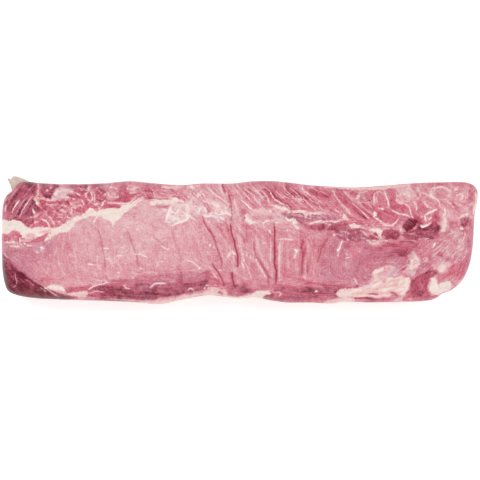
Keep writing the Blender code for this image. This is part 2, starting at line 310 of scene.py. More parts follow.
# The material's noises: their wave in metres, their detail, and a shift that keeps them apart.
NOISES = {"mottle": (0.0045, 3.0, 0.0), "grain": (0.0013, 2.0, 0.31), "ragged": (0.0028, 4.0, 0.57),
          "veins": (0.0075, 2.0, 0.11), "gaps": (0.009, 2.0, 0.47), "cap edge": (0.007, 4.0, 0.83)}
MOTTLE_SHARE = 0.24

# The surface: roughness, coat and bumps.
MEAT_ROUGH = 0.38
FAT_ROUGH = 0.46
MOTTLE_ROUGH = 0.35
SURFACE = {"Coat Weight": 0.12, "Coat Roughness": 0.2, "IOR": 1.4, "Specular IOR Level": 0.32}
BUMP_HEIGHT = 0.0003
BUMP_STRENGTH = 0.5
GRAIN_BUMP = 0.7
RAGGED_BUMP = 0.9
FIBRE_BUMP = 0.12
CREASE_BUMP = 0.5

# The fat cap round the bottom: its height in metres, on the sides and the ends, and its wavy edge.
CAP_SIDE = 0.024
CAP_END = 0.009
CAP_END_GAIN = 1.6
CAP_END_FROM = 0.3
CAP_WAVES = [(0.11, 0.005, 21), (0.03, 0.002, 22)]
CAP_RAGGED = 5.0
CAP_SOFTNESS = 0.8

# Down the walls the picture's forms fold in, the fat runs out, and both drift off to the sides and fade
# into the wall's own tone: by noises with a wave in metres, their reach and their seed.
WALL_LEVEL = 0.043
WALL_FADE = (0.028, 0.044)
PICTURE_FOLD = -0.5
FAT_RUN = 0.6
FAT_SHRINK = 3.0
DRIFT_FADE = (0.022, 0.040)
WALL_DRIFTS = [(0.016, 6.0, 31), (0.006, 2.6, 33)]
WALL_TONE = 0.45
# Painted shade on the walls just below the rim, against the light and sheen that the steep edge catches.
RIM_SHADE = 0.17
WALL_SHARES = {"belly": 0.45, "chine": 0.85}
WALL_SIDE_BLEND = 0.03
WALL_CLOUDS = [(0.014, 0.22, 35), (0.005, 0.13, 37)]
WALL_STRETCH = 0.3
WALL_THREADS = 0.5
WALL_THREAD_NOISE = (0.03, 39)
WALL_THREAD_BASE = 0.3
LINE_ON_WALL = 0.2

# The white floor, the sky, and the lamps: their place, size and power.
FLOOR_HALF = 6
FLOOR_DROP = 0.0002
PAPER = {"Base Color": (0.97, 0.97, 0.97, 1), "Roughness": 0.9, "Emission Color": (1, 1, 1, 1),
         "Emission Strength": 0.16, "Specular IOR Level": 0.0}
SKY_LIGHT = 0.56
SOFTBOXES = [("left_softbox", (-1.3, 0.9, 1.5), 0.9, 19.0), ("right_softbox", (1.4, 0.5, 1.4), 1.1, 12.5),
             ("front_softbox", (0.1, -1.6, 1.3), 1.2, 15.5)]

# The paint, each entry placed in the picture. A tone runs from 0, pale pink, to 1, nearly black red; cool
# turns it from rose, 0, to purple, 1. Closed patches first, with how soft their edge is.
TONE_PATCHES = [
    # The eye, and the duller meat at both of its ends.
    (0.36, 0.75, 16.0, [(-30, 245), (30, 240), (50, 236), (58, 246), (50, 262), (44, 284), (20, 290),
                        (-30, 260)]),
    (0.24, 0.15, 6.0, [(30, 262), (70, 258), (120, 262), (170, 268), (205, 266), (200, 279), (150, 279),
                       (100, 283), (60, 285), (40, 280)]),
    (0.27, 0.15, 10.0, [(200, 222), (240, 224), (300, 228), (330, 236), (330, 286), (280, 286), (230, 284),
                        (214, 270), (204, 245)]),
    (0.12, 0.10, 8.0, [(130, 214), (160, 208), (166, 222), (190, 224), (190, 240), (150, 240), (122, 226)]),
    (0.24, 0.05, 9.0, [(62, 240), (110, 238), (112, 270), (60, 272)]),
    (0.36, 0.55, 8.0, [(326, 238), (360, 240), (372, 243), (376, 256), (368, 276), (350, 284), (336, 284),
                       (320, 278), (316, 262), (322, 248)]),
    (0.36, 0.10, 1.5, [(350, 248), (362, 246), (372, 249), (366, 256), (352, 258)]),
    (0.44, 0.55, 1.5, [(364, 247), (385, 245), (400, 246), (413, 249), (413, 257), (408, 262), (398, 265),
                       (385, 266), (378, 270), (372, 274), (372, 281), (362, 286), (356, 280), (358, 264)]),
    (0.42, 0.15, 2.0, [(372, 240), (400, 239), (425, 240), (432, 244), (415, 249), (395, 247), (374, 247)]),
    (0.30, 0.45, 2.5, [(424, 243), (440, 240), (458, 236), (468, 242), (464, 256), (450, 264), (432, 264),
                       (424, 254)]),
    (0.40, 0.55, 1.5, [(414, 262), (424, 261), (432, 265), (432, 270), (424, 272), (416, 275), (410, 279),
                       (407, 272)]),
    # The rib band.
    (0.42, 0.05, 1.6, [(42, 178), (100, 178), (180, 180), (250, 176), (330, 182), (420, 178), (482, 176),
                       (482, 214), (462, 216), (448, 222), (436, 224), (404, 224), (392, 228), (372, 228),
                       (345, 222), (318, 213), (290, 210), (262, 209), (240, 211), (206, 206), (186, 203),
                       (170, 200), (142, 198), (128, 203), (112, 210), (84, 209), (70, 218), (58, 228),
                       (48, 230), (36, 228), (34, 218), (42, 208)]),
    (0.31, 0.05, 2.0, [(165, 184), (200, 182), (246, 182), (250, 196), (247, 214), (232, 211), (206, 207),
                       (190, 203), (176, 199), (170, 190)]),
    (0.27, -0.10, 3.0, [(396, 184), (440, 182), (472, 184), (474, 206), (462, 212), (446, 210), (430, 200),
                        (412, 200), (400, 198)]),
    (0.44, 0.40, 1.5, [(236, 182), (262, 180), (285, 180), (310, 184), (330, 186), (330, 189), (306, 188),
                       (285, 186), (262, 186), (238, 186)]),
    (0.53, 0.05, 1.5, [(42, 200), (52, 199), (66, 194), (92, 190), (97, 200), (100, 207), (88, 209),
                       (80, 213), (70, 218), (58, 227), (50, 226), (46, 214)]),
    # The thick end: a dark muscle, a clot, and the rose meat below them.
    (0.66, 0.46, 1.0, [(-6, 184), (12, 174), (32, 175), (38, 180), (38, 187), (36.5, 193), (35.5, 198),
                       (37, 203), (39, 207), (44, 211), (38, 213), (35, 216), (32.5, 219), (31, 223),
                       (28, 227.5), (24, 223), (18, 220.5), (10, 221.5), (5, 219.5), (-6, 218)]),
    (0.46, 0.30, 1.5, [(-6, 197), (4.5, 198), (4.5, 207), (7.5, 212), (13, 216), (12, 220), (-6, 222)]),
    (0.74, 0.60, 1.5, [(24, 204), (31, 203), (35, 205), (40, 211), (35, 214), (30, 218), (25, 218),
                       (23, 211)]),
    (0.64, 0.35, 1.2, [(40, 190), (44, 187), (52, 187), (55.5, 189), (54.5, 195), (51, 199.5), (47, 199),
                       (43, 195)]),
    (0.82, 0.45, 0.9, [(45, 195.5), (48, 193.5), (51.5, 195), (50.5, 198.8), (47, 199.3)]),
    (0.80, 0.55, 0.8, [(50.5, 190.5), (54, 188.8), (54.8, 193), (52, 195.3), (50.3, 193.5)]),
    (0.66, 0.50, 1.0, [(41, 181), (60, 182), (59.5, 188.5), (56, 189), (51, 187), (42, 188)]),
    (0.60, -0.20, 1.2, [(38.5, 196.5), (44, 199.5), (49, 201.5), (49.5, 206), (48, 210), (44, 209),
                        (40.5, 205)]),
    (0.50, 0.02, 1.0, [(32, 221), (38, 217), (44, 219), (48, 223), (49, 229), (40, 229), (33, 228.5)]),
    (0.50, 0.02, 1.2, [(-6, 233), (8, 234), (14, 230.5), (22, 236), (33, 238), (47, 232), (51, 233),
                       (46, 239), (40, 241), (20, 242), (-6, 242)]),
    # The chine side, from the thick end to the middle.
    (0.22, 0.50, 1.2, [(54.5, 190), (60, 187), (66, 188), (71, 190.5), (66, 193), (64, 198), (58, 199),
                       (55, 196)]),
    (0.60, 0.80, 1.0, [(68, 182), (92, 182), (92, 187.5), (86, 189), (78, 187), (70, 188)]),
    (0.64, 0.65, 1.0, [(97, 181), (105.5, 181), (106, 189), (98, 190)]),
    (0.26, 0.60, 1.0, [(87.5, 184.5), (91, 184.5), (91, 191), (88, 192)]),
    (0.70, 0.10, 0.9, [(67, 192.5), (72, 193.5), (80, 196.3), (82, 198), (76, 198), (70, 197.3), (67, 195)]),
    (0.63, 0.25, 0.9, [(72, 189), (80, 189), (90, 190.5), (89, 193), (84, 192.5), (78, 192), (73, 191)]),
    (0.67, 0.05, 0.9, [(50, 203), (57, 201), (66, 200), (70, 202.5), (70, 205.5), (64, 204.5), (57, 203.8),
                       (51, 205.5)]),
    (0.64, 0.05, 0.9, [(46, 211), (52, 212.5), (58, 215.5), (63, 219), (58, 219), (52, 216), (47, 213)]),
    (0.60, 0.00, 1.0, [(55, 223), (60, 221.8), (65, 222.5), (64, 225.5), (58, 226.5), (55, 225)]),
    (0.62, 0.00, 1.0, [(75, 210), (79, 207), (83, 208.5), (86, 213), (80, 214), (76, 213)]),
    (0.46, 0.00, 0.8, [(78, 211.5), (82, 211), (85, 213), (80, 213.5)]),
    (0.62, 0.10, 0.8, [(56, 207), (60, 206), (66, 207.5), (64, 209.2), (58, 208.5)]),
    (0.52, 0.60, 0.9, [(64.5, 213), (68, 212), (71.5, 214), (69, 217), (65.5, 216.5)]),
    (0.72, 0.15, 0.8, [(88, 194), (90, 195), (90.7, 199.5), (88.5, 198)]),
    (0.72, 0.10, 1.0, [(95, 192), (99, 190), (105, 190), (107.5, 194), (106, 200), (99, 201), (95.5, 198)]),
    (0.42, 0.20, 1.0, [(107, 186), (112, 184), (118, 186), (121, 190), (119.5, 199), (112, 200),
                       (108, 196), (106, 190)]),
    (0.50, 0.00, 0.8, [(110.5, 189.3), (117, 190), (116, 192), (112, 191.5)]),
    (0.50, 0.60, 0.9, [(118.5, 184), (124, 183.5), (129, 186), (128.5, 190), (122, 189.5), (119, 188)]),
    (0.68, 0.03, 1.0, [(112, 200.3), (119, 199), (118, 193), (121, 190.5), (127, 192), (132, 195.5),
                       (131, 200), (126, 202), (116, 201.8)]),
    (0.57, 0.00, 1.0, [(100, 205.5), (106, 204.3), (114, 205), (121, 205.3), (116, 209), (106, 209.5),
                       (101, 208)]),
    (0.42, 0.15, 1.2, [(129, 182), (140, 182), (141, 193), (134, 195), (129, 191)]),
    (0.40, 0.35, 1.2, [(140, 183), (150, 183), (160, 185.5), (157, 189.5), (148, 189), (141, 188)]),
    (0.56, 0.10, 0.9, [(153, 186), (160, 185.5), (163, 187), (160, 189.3), (154, 189)]),
    (0.20, 0.10, 1.2, [(161, 185), (172, 185), (178, 186), (176, 189.3), (168, 189.3), (164, 189)]),
    (0.60, 0.00, 1.2, [(143, 190.5), (150, 189.5), (154, 191), (154, 196), (151, 199.3), (145, 199),
                       (142, 195)]),
    (0.34, 0.00, 1.5, [(155, 189.5), (168, 190), (169, 198), (156, 199.3)]),
    (0.50, 0.00, 0.9, [(168.5, 190), (175.5, 189.8), (177, 194), (180, 199.5), (176, 198.5), (171, 195)]),
    (0.40, 0.10, 0.9, [(147.5, 200.5), (153.5, 200.3), (153, 202.3), (148, 202.3)]),
    (0.46, 0.00, 0.8, [(184, 193), (188, 195), (191, 198.5), (187, 198.5)]),
    (0.36, 0.00, 0.8, [(180, 190.5), (184, 191.5), (183, 195), (180.5, 194)]),
    (0.33, 0.00, 1.2, [(204, 204.5), (210, 204), (212, 209), (208, 212.5), (204, 210)]),
    (0.42, 0.00, 0.9, [(192, 204.6), (198, 204.2), (200, 206), (196, 207.4), (192, 207)]),
    # Diagonal bundles, from the middle to the thin end.
    (0.54, 0.05, 1.0, [(246, 188), (250, 187), (251, 193), (247, 194)]),
    (0.48, 0.10, 1.0, [(252, 190), (260, 193), (266, 198), (262, 199), (254, 197)]),
    (0.52, 0.50, 1.0, [(241, 210), (245, 209), (247, 213), (246, 219), (242, 217)]),
    (0.56, 0.05, 0.9, [(261, 189.5), (267, 190), (270.5, 195), (272, 201), (268, 197), (263, 193)]),
    (0.58, 0.08, 1.1, [(267, 188), (271, 189.5), (276, 195), (282, 200.5), (288, 204.8), (292, 209.5),
                       (287, 207), (280, 202.5), (273, 198), (269, 193)]),
    (0.70, 0.08, 0.9, [(284, 187), (288, 187.5), (292, 192), (296, 197), (292, 197), (287, 193)]),
    (0.66, 0.10, 0.8, [(285, 183), (287, 186), (288.5, 190), (286, 189)]),
    (0.66, 0.05, 0.9, [(289, 190.5), (297, 190.5), (302, 195), (309, 202), (312, 206), (306, 204),
                       (298, 198), (291, 194.5)]),
    (0.62, 0.00, 0.9, [(305, 194.5), (310, 198), (317, 203), (320, 207), (314, 205), (308, 200)]),
    (0.64, 0.02, 1.0, [(308, 189), (325, 190.5), (331, 194), (330, 198), (322, 196.5), (312, 194.5)]),
    (0.22, 0.50, 0.9, [(295, 197), (300, 196.5), (302, 200), (298, 202)]),
    (0.52, 0.00, 1.0, [(300, 203.5), (308, 206), (318, 209), (320, 211.5), (306, 210), (298, 208)]),
    (0.42, 0.00, 1.0, [(252, 215.5), (262, 216.5), (272, 215.5), (273, 219), (264, 219.5), (254, 220)]),
    (0.56, 0.02, 0.9, [(334, 190), (340, 193), (346, 199), (352, 204), (360, 211), (368, 218.5),
                       (363, 217.5), (355, 212), (347, 206), (340, 200), (335, 194.5)]),
    (0.38, 0.05, 0.9, [(342, 192), (350, 193.5), (352, 198), (347, 199), (343, 196)]),
    (0.80, 0.10, 0.7, [(350.3, 191.3), (353.2, 191.3), (353.2, 193.9), (350.5, 193.9)]),
    (0.60, 0.10, 0.8, [(354.5, 193), (358.5, 192.5), (357, 196), (355, 196.5)]),
    (0.56, 0.00, 0.8, [(362, 203), (367, 204), (370, 208), (366, 208.5), (362, 206)]),
    (0.58, 0.10, 0.8, [(371, 205), (374.5, 206), (374, 209), (371.5, 208)]),
    (0.44, 0.05, 1.0, [(388, 190.5), (396, 190), (397, 197), (391, 199), (388, 195)]),
    (0.55, 0.05, 1.0, [(390, 199.5), (396, 199), (401, 203.5), (405, 205), (404, 210), (396, 209),
                       (391, 207)]),
    (0.54, 0.00, 1.0, [(378, 211), (386, 209.8), (394, 211.5), (400, 214), (400, 219), (394, 223),
                       (386, 223.3), (380, 219.5)]),
    (0.54, 0.00, 0.9, [(420, 201), (425, 201.5), (428, 206), (431, 209), (424, 209), (420, 205)]),
    (0.46, 0.10, 0.8, [(416.5, 191), (419.5, 191.5), (420, 199), (417.5, 198)]),
    (0.36, -0.10, 1.0, [(433, 189), (439, 187.5), (445, 188.5), (448, 192), (447, 197), (440, 199),
                        (434, 196)]),
    (0.38, 0.05, 1.0, [(448, 201), (456, 203), (466, 204), (466, 209), (458, 210), (452, 209)]),
    (0.34, 0.00, 0.8, [(455, 193), (458.5, 193), (458.5, 197.5), (455.5, 197)]),
    (0.56, 0.10, 0.9, [(468.5, 190), (472, 190), (472.5, 208), (469, 209)]),
    (0.48, 0.50, 1.0, [(469, 183), (475, 185), (477, 190), (472, 189), (468, 186)]),
    (0.50, 0.00, 1.0, [(447.5, 221), (453, 220), (459, 221.5), (459, 226), (456, 229), (449, 227)]),
    (0.50, 0.05, 1.2, [(457, 229), (462, 230), (468, 222), (475, 219), (475, 262), (469, 262), (467, 240),
                       (463, 237)]),
    # Dark meat and clots along the seam, and the thin end below it.
    (0.56, 0.70, 1.0, [(281, 213), (290, 212.5), (300, 212), (306, 214), (304, 220), (301, 226),
                       (296, 221), (288, 219)]),
    (0.50, 0.80, 1.2, [(303, 214.5), (320, 214), (330, 215), (341, 217), (332, 220.5), (312, 222),
                       (304, 221)]),
    (0.58, 0.35, 1.0, [(302, 222), (312, 225), (320, 224), (330, 223), (340, 222), (347, 222), (349, 227),
                       (344, 231), (336, 232), (330, 230.5), (322, 231), (312, 230), (305, 228)]),
    (0.66, 0.60, 1.4, [(336, 230), (350, 229), (360, 229.5), (363, 234), (368, 237), (373, 240.5),
                       (360, 241), (350, 242), (342, 240), (336, 236)]),
    (0.72, 0.20, 0.8, [(368.5, 235), (373, 233.5), (378, 233), (380.5, 237), (378, 240), (371, 239.5)]),
    (0.72, 0.25, 0.9, [(381, 233), (385, 230), (390, 227.5), (396, 230), (401, 233), (400, 237),
                       (396, 240), (391, 239), (386, 239.5), (382, 237.5)]),
    (0.80, 0.15, 1.0, [(389.5, 235), (393, 232), (398, 232), (400.5, 235), (397, 239), (392, 239)]),
    (0.64, 0.10, 1.6, [(397, 249), (402, 247), (408, 247.5), (411.5, 251), (411, 257), (404, 258),
                       (398, 256.5)]),
    (0.78, 0.15, 0.9, [(317.5, 226), (321, 224.8), (324, 228), (321, 230.8), (318, 229)]),
    (0.68, 0.20, 1.0, [(329, 229), (332, 226.5), (337, 226), (337, 229), (334, 230.5), (330, 231)]),
    (0.62, 0.02, 1.4, [(412, 213), (417, 214), (421, 219), (424, 224), (419, 227), (415, 221)]),
    (0.73, 0.45, 1.2, [(417, 225), (424, 226.5), (430, 224), (435, 221), (438, 224), (442, 228),
                       (441, 232), (438, 236), (433, 240), (426, 238.5), (420, 239), (412, 240),
                       (405, 238), (403, 232), (410, 230), (416, 229)]),
    (0.86, 0.35, 0.9, [(424, 227), (428, 226), (431, 228), (429, 230), (425, 229.5)]),
    (0.86, 0.35, 0.9, [(434, 228), (438, 226.5), (441.5, 228.5), (439, 231.5), (435, 231)]),
    (0.82, 0.20, 0.9, [(426, 236), (431, 236.5), (436, 234), (436, 237), (430, 240), (426, 239)]),
    (0.70, 0.05, 0.9, [(434, 213), (438, 211.3), (440.5, 215), (440, 222), (436, 221), (434, 217)]),
    (0.42, 0.25, 2.5, [(441, 230), (458, 230), (466, 236), (464, 250), (450, 258), (436, 256), (432, 244)]),
    (0.40, 0.15, 2.0, [(412, 243), (424, 241), (433, 245), (432, 256), (424, 262), (417, 256)]),
    (0.27, 0.10, 1.5, [(446, 210), (460, 208), (473, 203), (474, 214), (467, 211), (460, 215.5),
                       (458, 220.5), (451, 221), (447, 217)]),
    (0.93, 0.05, 1.1, [(404, 223), (408, 219.3), (413, 218.3), (416.8, 221), (416, 225.5), (412, 229),
                       (407, 230.8), (403, 228), (402.5, 225)]),
    (0.58, 0.80, 0.8, [(460, 219), (464, 217), (469.5, 216.3), (469, 221), (465.5, 226.5), (462, 224)]),
    (0.76, 0.00, 0.8, [(461.5, 223.5), (465, 222.5), (468.5, 219), (468, 223), (465, 227), (463, 226.5)]),
    # The belly side: dark bands, partly the meat's own colour and partly painted shade where the side turns
    # down, the burgundy corner, the membrane, and the red corner of the thin end.
    (0.58, 0.00, 1.0, [(64, 289), (70, 286.5), (80, 286), (92, 284.5), (90, 290), (80, 292.5), (72, 292),
                       (66, 293)]),
    (0.90, 0.45, 1.1, [(-8, 249), (4, 254.5), (8, 260), (12, 266), (19, 271.5), (28, 277), (40, 285.5),
                       (46, 289), (54, 291.3), (62, 294), (70, 296.5), (80, 299), (80, 308), (-8, 308)]),
    (0.80, 0.35, 2.0, [(-6, 256), (6, 258), (12, 265), (18, 271), (14, 285), (8, 290), (-6, 290)]),
    (0.99, 0.30, 3.0, [(18, 281), (28, 280), (40, 287), (50, 293), (42, 298), (20, 295)]),
    (0.42, 0.60, 2.5, [(100, 280), (130, 279), (160, 274), (200, 272), (210, 272), (206, 280), (160, 282),
                       (120, 284)]),
    (0.56, 0.40, 2.0, [(84, 292), (92, 287), (100, 283.5), (112, 283), (128, 284), (136, 281),
                       (150, 279.5), (165, 281), (182, 281), (198, 279), (206, 276), (211, 279),
                       (208, 288), (200, 292), (186, 294), (170, 296.5), (150, 299.5), (120, 299.3),
                       (100, 298.5), (86, 296)]),
    (0.74, 0.40, 1.4, [(86, 292), (92, 288.5), (100, 286), (108, 286.5), (118, 288), (128, 288),
                       (138, 285), (150, 284), (160, 286), (178, 284), (192, 283.5), (200, 282),
                       (206, 280), (206, 285), (202, 289.5), (196, 292), (184, 294), (172, 296),
                       (158, 298.5), (140, 300), (120, 299), (104, 298.3), (92, 296.8), (86, 295)]),
    (0.76, 0.02, 1.5, [(87, 292), (100, 288), (112, 290), (118, 294), (110, 298), (95, 297)]),
    (0.79, 0.40, 2.0, [(118, 292), (135, 290), (150, 288), (165, 290), (180, 286), (194, 286), (188, 290),
                       (160, 294), (130, 297)]),
    (0.62, 0.80, 2.5, [(136, 286), (146, 285), (158, 286), (162, 289), (150, 291), (138, 290)]),
    (0.82, 0.40, 1.4, [(200, 286), (202, 282), (206, 281), (206, 285), (203, 289), (200, 289)]),
    (0.50, 0.05, 1.5, [(208, 279), (216, 279), (224, 284), (228, 289), (220, 289), (211, 285)]),
    (0.62, 0.05, 1.2, [(227, 287), (234, 286), (240, 289), (244, 296), (235, 296.5), (228, 295.5)]),
    (0.50, 0.50, 2.5, [(226, 284), (250, 285), (268, 286), (268, 290), (252, 292), (232, 292)]),
    (0.70, 0.30, 1.5, [(239, 286.5), (248, 286), (252, 289), (248, 293), (240, 293.5), (237, 290)]),
    (0.42, 0.10, 3.0, [(298, 238), (306, 238), (307, 260), (303, 282), (298, 282), (298, 258)]),
    (0.36, 0.10, 4.0, [(310, 240), (324, 238), (322, 262), (314, 276), (306, 270)]),
    (0.50, 0.20, 2.5, [(258, 291), (270, 286), (286, 284), (298, 285), (308, 282), (322, 283), (334, 285),
                       (346, 286), (344, 292), (320, 296), (290, 298), (266, 296)]),
    (0.66, 0.30, 1.3, [(262, 294), (270, 290.5), (280, 289), (292, 289), (300, 288.5), (308, 287),
                       (318, 287.5), (330, 288.5), (338, 288.5), (344, 290.2), (341, 292), (339, 297),
                       (332, 299.5), (318, 302), (300, 304), (285, 303), (272, 301), (264, 298)]),
    (0.84, 0.20, 1.3, [(300, 290), (306, 287.3), (313, 287.5), (318, 290), (312, 292), (304, 292.5)]),
    (0.74, 0.30, 1.2, [(331, 290), (336, 288.5), (338.5, 291), (335, 294), (331, 293.5)]),
    (0.58, 0.00, 1.0, [(284, 299), (300, 299.5), (320, 298), (332, 298.5), (322, 303), (300, 306),
                       (284, 305)]),
    (0.46, 0.40, 1.0, [(346, 288), (353, 285), (357, 283.5), (362, 286.5), (358, 289.5), (348, 290.5)]),
    (0.86, 0.30, 0.8, [(355.5, 285), (358, 284.8), (358.3, 288), (355.5, 288)]),
    (0.40, 0.80, 1.2, [(389, 271), (391, 266), (395, 264), (399, 265.5), (398.5, 270), (400, 275),
                       (393, 277.5), (386, 276.5)]),
    (0.46, 0.03, 2.0, [(452, 266), (460, 259), (472, 250), (476, 262), (468, 274), (462, 280), (454, 277),
                       (449, 273)]),
    (0.36, 0.10, 1.5, [(438, 275), (446, 273), (458, 278), (456, 286), (446, 281), (439, 281)]),
    (0.72, 0.08, 1.1, [(409, 288), (412, 280), (418, 275), (424, 271.5), (432, 270.5), (438, 271.5),
                       (441, 273.5), (437, 275), (434, 276.5), (430, 279), (428, 285), (429, 291),
                       (432, 294.5), (439, 296.5), (432, 304), (408, 306), (404, 298), (407, 291)]),
    (0.77, 0.10, 1.2, [(410, 283), (414, 279), (420, 274.5), (427, 271.5), (431, 272.3), (427, 274),
                       (421, 278), (414, 283)]),
    (0.52, 0.05, 1.0, [(405, 299), (420, 298), (430, 296), (440, 295.5), (437, 303), (405, 306)]),
    (0.42, 0.35, 1.3, [(470, 224), (476, 220), (478, 240), (474, 262), (469, 264), (470, 245)]),
]

# Strokes of tone: how wide either side, in pixels.
TONE_STROKES = [
    (0.86, 0.10, 1.1, [(18.5, 215), (21, 209.5), (24, 204.5), (27, 200)]),
    (0.80, 0.00, 0.8, [(22.5, 193), (18, 197), (14, 201.5)]),
    (0.82, 0.05, 0.8, [(34.5, 189.3), (30, 192.3), (26, 196.5)]),
    (0.80, 0.05, 0.8, [(13.5, 192.5), (9.5, 197.5), (8, 203)]),
    (0.78, 0.05, 0.8, [(26.5, 186.5), (21, 190.5), (17.5, 194)]),
    (0.84, 0.00, 0.7, [(11.5, 192), (8.3, 198), (6.8, 205)]),
    (0.82, 0.00, 0.7, [(16, 190.5), (12, 197.5), (10.2, 205), (9.5, 212)]),
    (0.84, 0.00, 0.7, [(21, 188.5), (16.5, 196), (13.6, 204), (12.8, 211)]),
    (0.78, 0.30, 1.2, [(26, 183), (29, 185), (32, 185)]),
    (0.66, 0.70, 1.0, [(60, 184.6), (80, 185), (105, 184.3), (128, 182.8)]),
    (0.24, 0.05, 2.2, [(205, 191), (211, 196), (217, 201)]),
    (0.26, 0.05, 1.8, [(190, 200), (192, 206), (191, 213)]),
    (0.22, 0.05, 2.0, [(229, 184), (232, 192), (235, 203)]),
    (0.52, 0.30, 1.3, [(361.5, 229.5), (366, 231), (369, 235)]),
    (0.52, 0.20, 2.0, [(384, 245.5), (391, 245), (399, 246)]),
    (0.62, 0.05, 1.4, [(408, 301), (424, 300), (437, 299.5)]),
    (0.58, 0.30, 1.2, [(408.5, 256), (410, 260), (408, 265)]),
    # Painted shade along the rim of the thick end's lower corner, darker than its meat, against the pale sheen
    # the steep edge catches.
    (1.04, 0.00, 1.3, [(3, 266), (5, 277), (9, 287), (17, 293), (34, 297), (58, 299)]),
    (0.40, 0.05, 1.4, [(211, 271), (215, 275), (219, 279)]),
    (0.34, 0.10, 1.6, [(292, 207), (296, 208), (300, 210)]),
    (0.34, 0.10, 1.4, [(296, 222), (299, 224), (302, 226)]),
    (0.42, 0.10, 1.4, [(271, 291), (274, 293), (276, 296)]),
    # The long upright strokes in the middle of the eye mark its soft folds: the pale ones are painted light on
    # the ridges beside the creases, the darker ones painted shade between them.
    (0.30, 0.10, 4.0, [(286, 240), (289, 256), (291, 276)]),
    (0.60, 0.05, 2.0, [(300, 195), (308, 200), (314, 205)]),
    (0.33, 0.10, 1.6, [(243, 215), (244, 232), (246, 250)]),
    (0.30, 0.10, 1.4, [(249, 226), (250, 245), (254, 262)]),
    (0.10, 0.15, 1.6, [(239.5, 225), (241, 240), (243, 262)]),
    (0.10, 0.15, 1.4, [(257, 234), (257.5, 247), (262, 258), (268, 270)]),
    (0.12, 0.15, 1.4, [(280, 242), (280, 262), (281, 280)]),
    (0.34, 0.10, 1.6, [(284, 244), (284.5, 262), (285, 280)]),
    (0.30, 0.10, 1.4, [(223, 228), (227, 243), (230, 262)]),
    (0.11, 0.15, 1.4, [(207, 222), (213, 232), (219, 246), (224, 262)]),
    (0.32, 0.10, 1.6, [(309, 248), (308, 262), (308, 278)]),
    (0.12, 0.20, 1.4, [(305.5, 256), (305, 268), (305, 280)]),
    (0.30, 0.10, 1.4, [(264, 232), (266, 248), (270, 262)]),
    (0.80, 0.30, 1.0, [(12, 213), (12.5, 205), (14, 197)]),
    (0.64, 0.20, 0.9, [(16, 215), (18, 207), (22, 200)]),
    (0.66, 0.10, 0.8, [(131, 196.5), (135, 194.3), (139.5, 194.8)]),
    (0.66, 0.10, 0.8, [(131, 203), (136, 200.8), (140, 197)]),
    (0.68, 0.05, 0.8, [(158, 194), (162, 195.3), (167, 197)]),
    (0.62, 0.10, 0.8, [(158, 199), (163, 199.8), (168, 198.5)]),
    (0.60, 0.00, 0.7, [(156, 191.3), (161, 192), (166, 193)]),
    (0.52, 0.00, 1.0, [(150, 207), (157, 206.2), (163, 207), (168, 205)]),
    (0.58, 0.05, 0.8, [(161, 207.2), (166, 206.6), (170.5, 204.3)]),
    (0.80, 0.10, 1.0, [(221, 184), (223.5, 188), (224.8, 193)]),
    (0.50, 0.00, 0.7, [(228, 191), (229.5, 196), (230.8, 201)]),
    (0.66, 0.05, 0.8, [(373, 193.5), (373.3, 197.5), (371, 200.5), (365, 200.8)]),
    (0.60, 0.05, 0.8, [(331, 189.5), (342, 190.5), (352, 190.8)]),
    (0.28, 0.80, 1.2, [(330, 224), (327.5, 228), (324, 232)]),
    (0.64, 0.05, 0.7, [(216, 213.5), (219, 213), (223, 214)]),
    (0.60, 0.05, 0.7, [(198.5, 208.5), (199.5, 211)]),
    (0.50, 0.05, 0.9, [(202, 217), (204, 222), (207, 227), (211, 233)]),
    (0.46, 0.05, 0.9, [(220.5, 223), (221.3, 228), (222, 233)]),
    (0.48, 0.10, 0.9, [(225, 222), (227, 227), (229, 233)]),
    (0.52, 0.40, 0.9, [(398, 268), (402, 266), (407, 263.5)]),
    (0.52, 0.40, 0.9, [(400, 271), (404, 269), (408, 266.5)]),
    (0.46, 0.00, 2.0, [(400, 273), (403.5, 274.5), (407, 276.5)]),
    (0.86, 0.20, 0.8, [(356, 285.8), (356.5, 287.5)]),
    (0.90, 0.40, 1.2, [(19, 215), (22, 208), (27, 200)]),
    (0.84, 0.50, 0.9, [(10, 205), (13, 199), (18, 192)]),
    (0.86, 0.30, 1.0, [(31, 216), (33, 219), (31.5, 224)]),
    (0.84, 0.40, 0.9, [(28, 212), (31, 206), (35, 199)]),
    (0.52, 0.05, 0.8, [(124, 205), (131, 202.3), (138, 197)]),
    (0.62, 0.05, 0.9, [(283, 203), (288, 206), (292, 211)]),
    (0.64, 0.05, 1.0, [(276, 197), (283, 202), (290, 207)]),
    (0.62, 0.05, 1.0, [(362, 208), (370, 215), (376, 219)]),
    (0.66, 0.02, 1.1, [(353, 298.5), (362, 297.6), (372, 299), (386, 299), (402, 296.8)]),
    (0.58, 0.02, 1.3, [(352, 301), (372, 301.3), (405, 301)]),
    (0.66, 0.80, 1.0, [(368.5, 294.6), (374, 293.8), (378.5, 294.8)]),
    (0.60, 0.80, 1.1, [(390, 292.5), (394.5, 293.5), (397, 295.5)]),
    (0.52, 0.30, 0.8, [(372, 252), (385, 251), (398, 252)]),
    (0.56, 0.50, 0.8, [(368, 257.5), (380, 257), (395, 255)]),
    (0.54, 0.40, 0.8, [(374, 262), (386, 259.5), (396, 259.5)]),
    (0.62, 0.20, 0.9, [(400, 242), (410, 242), (417, 246)]),
    (0.56, 0.10, 0.9, [(404, 248), (412, 247), (420, 249)]),
    (0.66, 0.10, 1.0, [(218, 292.5), (221, 292.5), (222.5, 295)]),
]

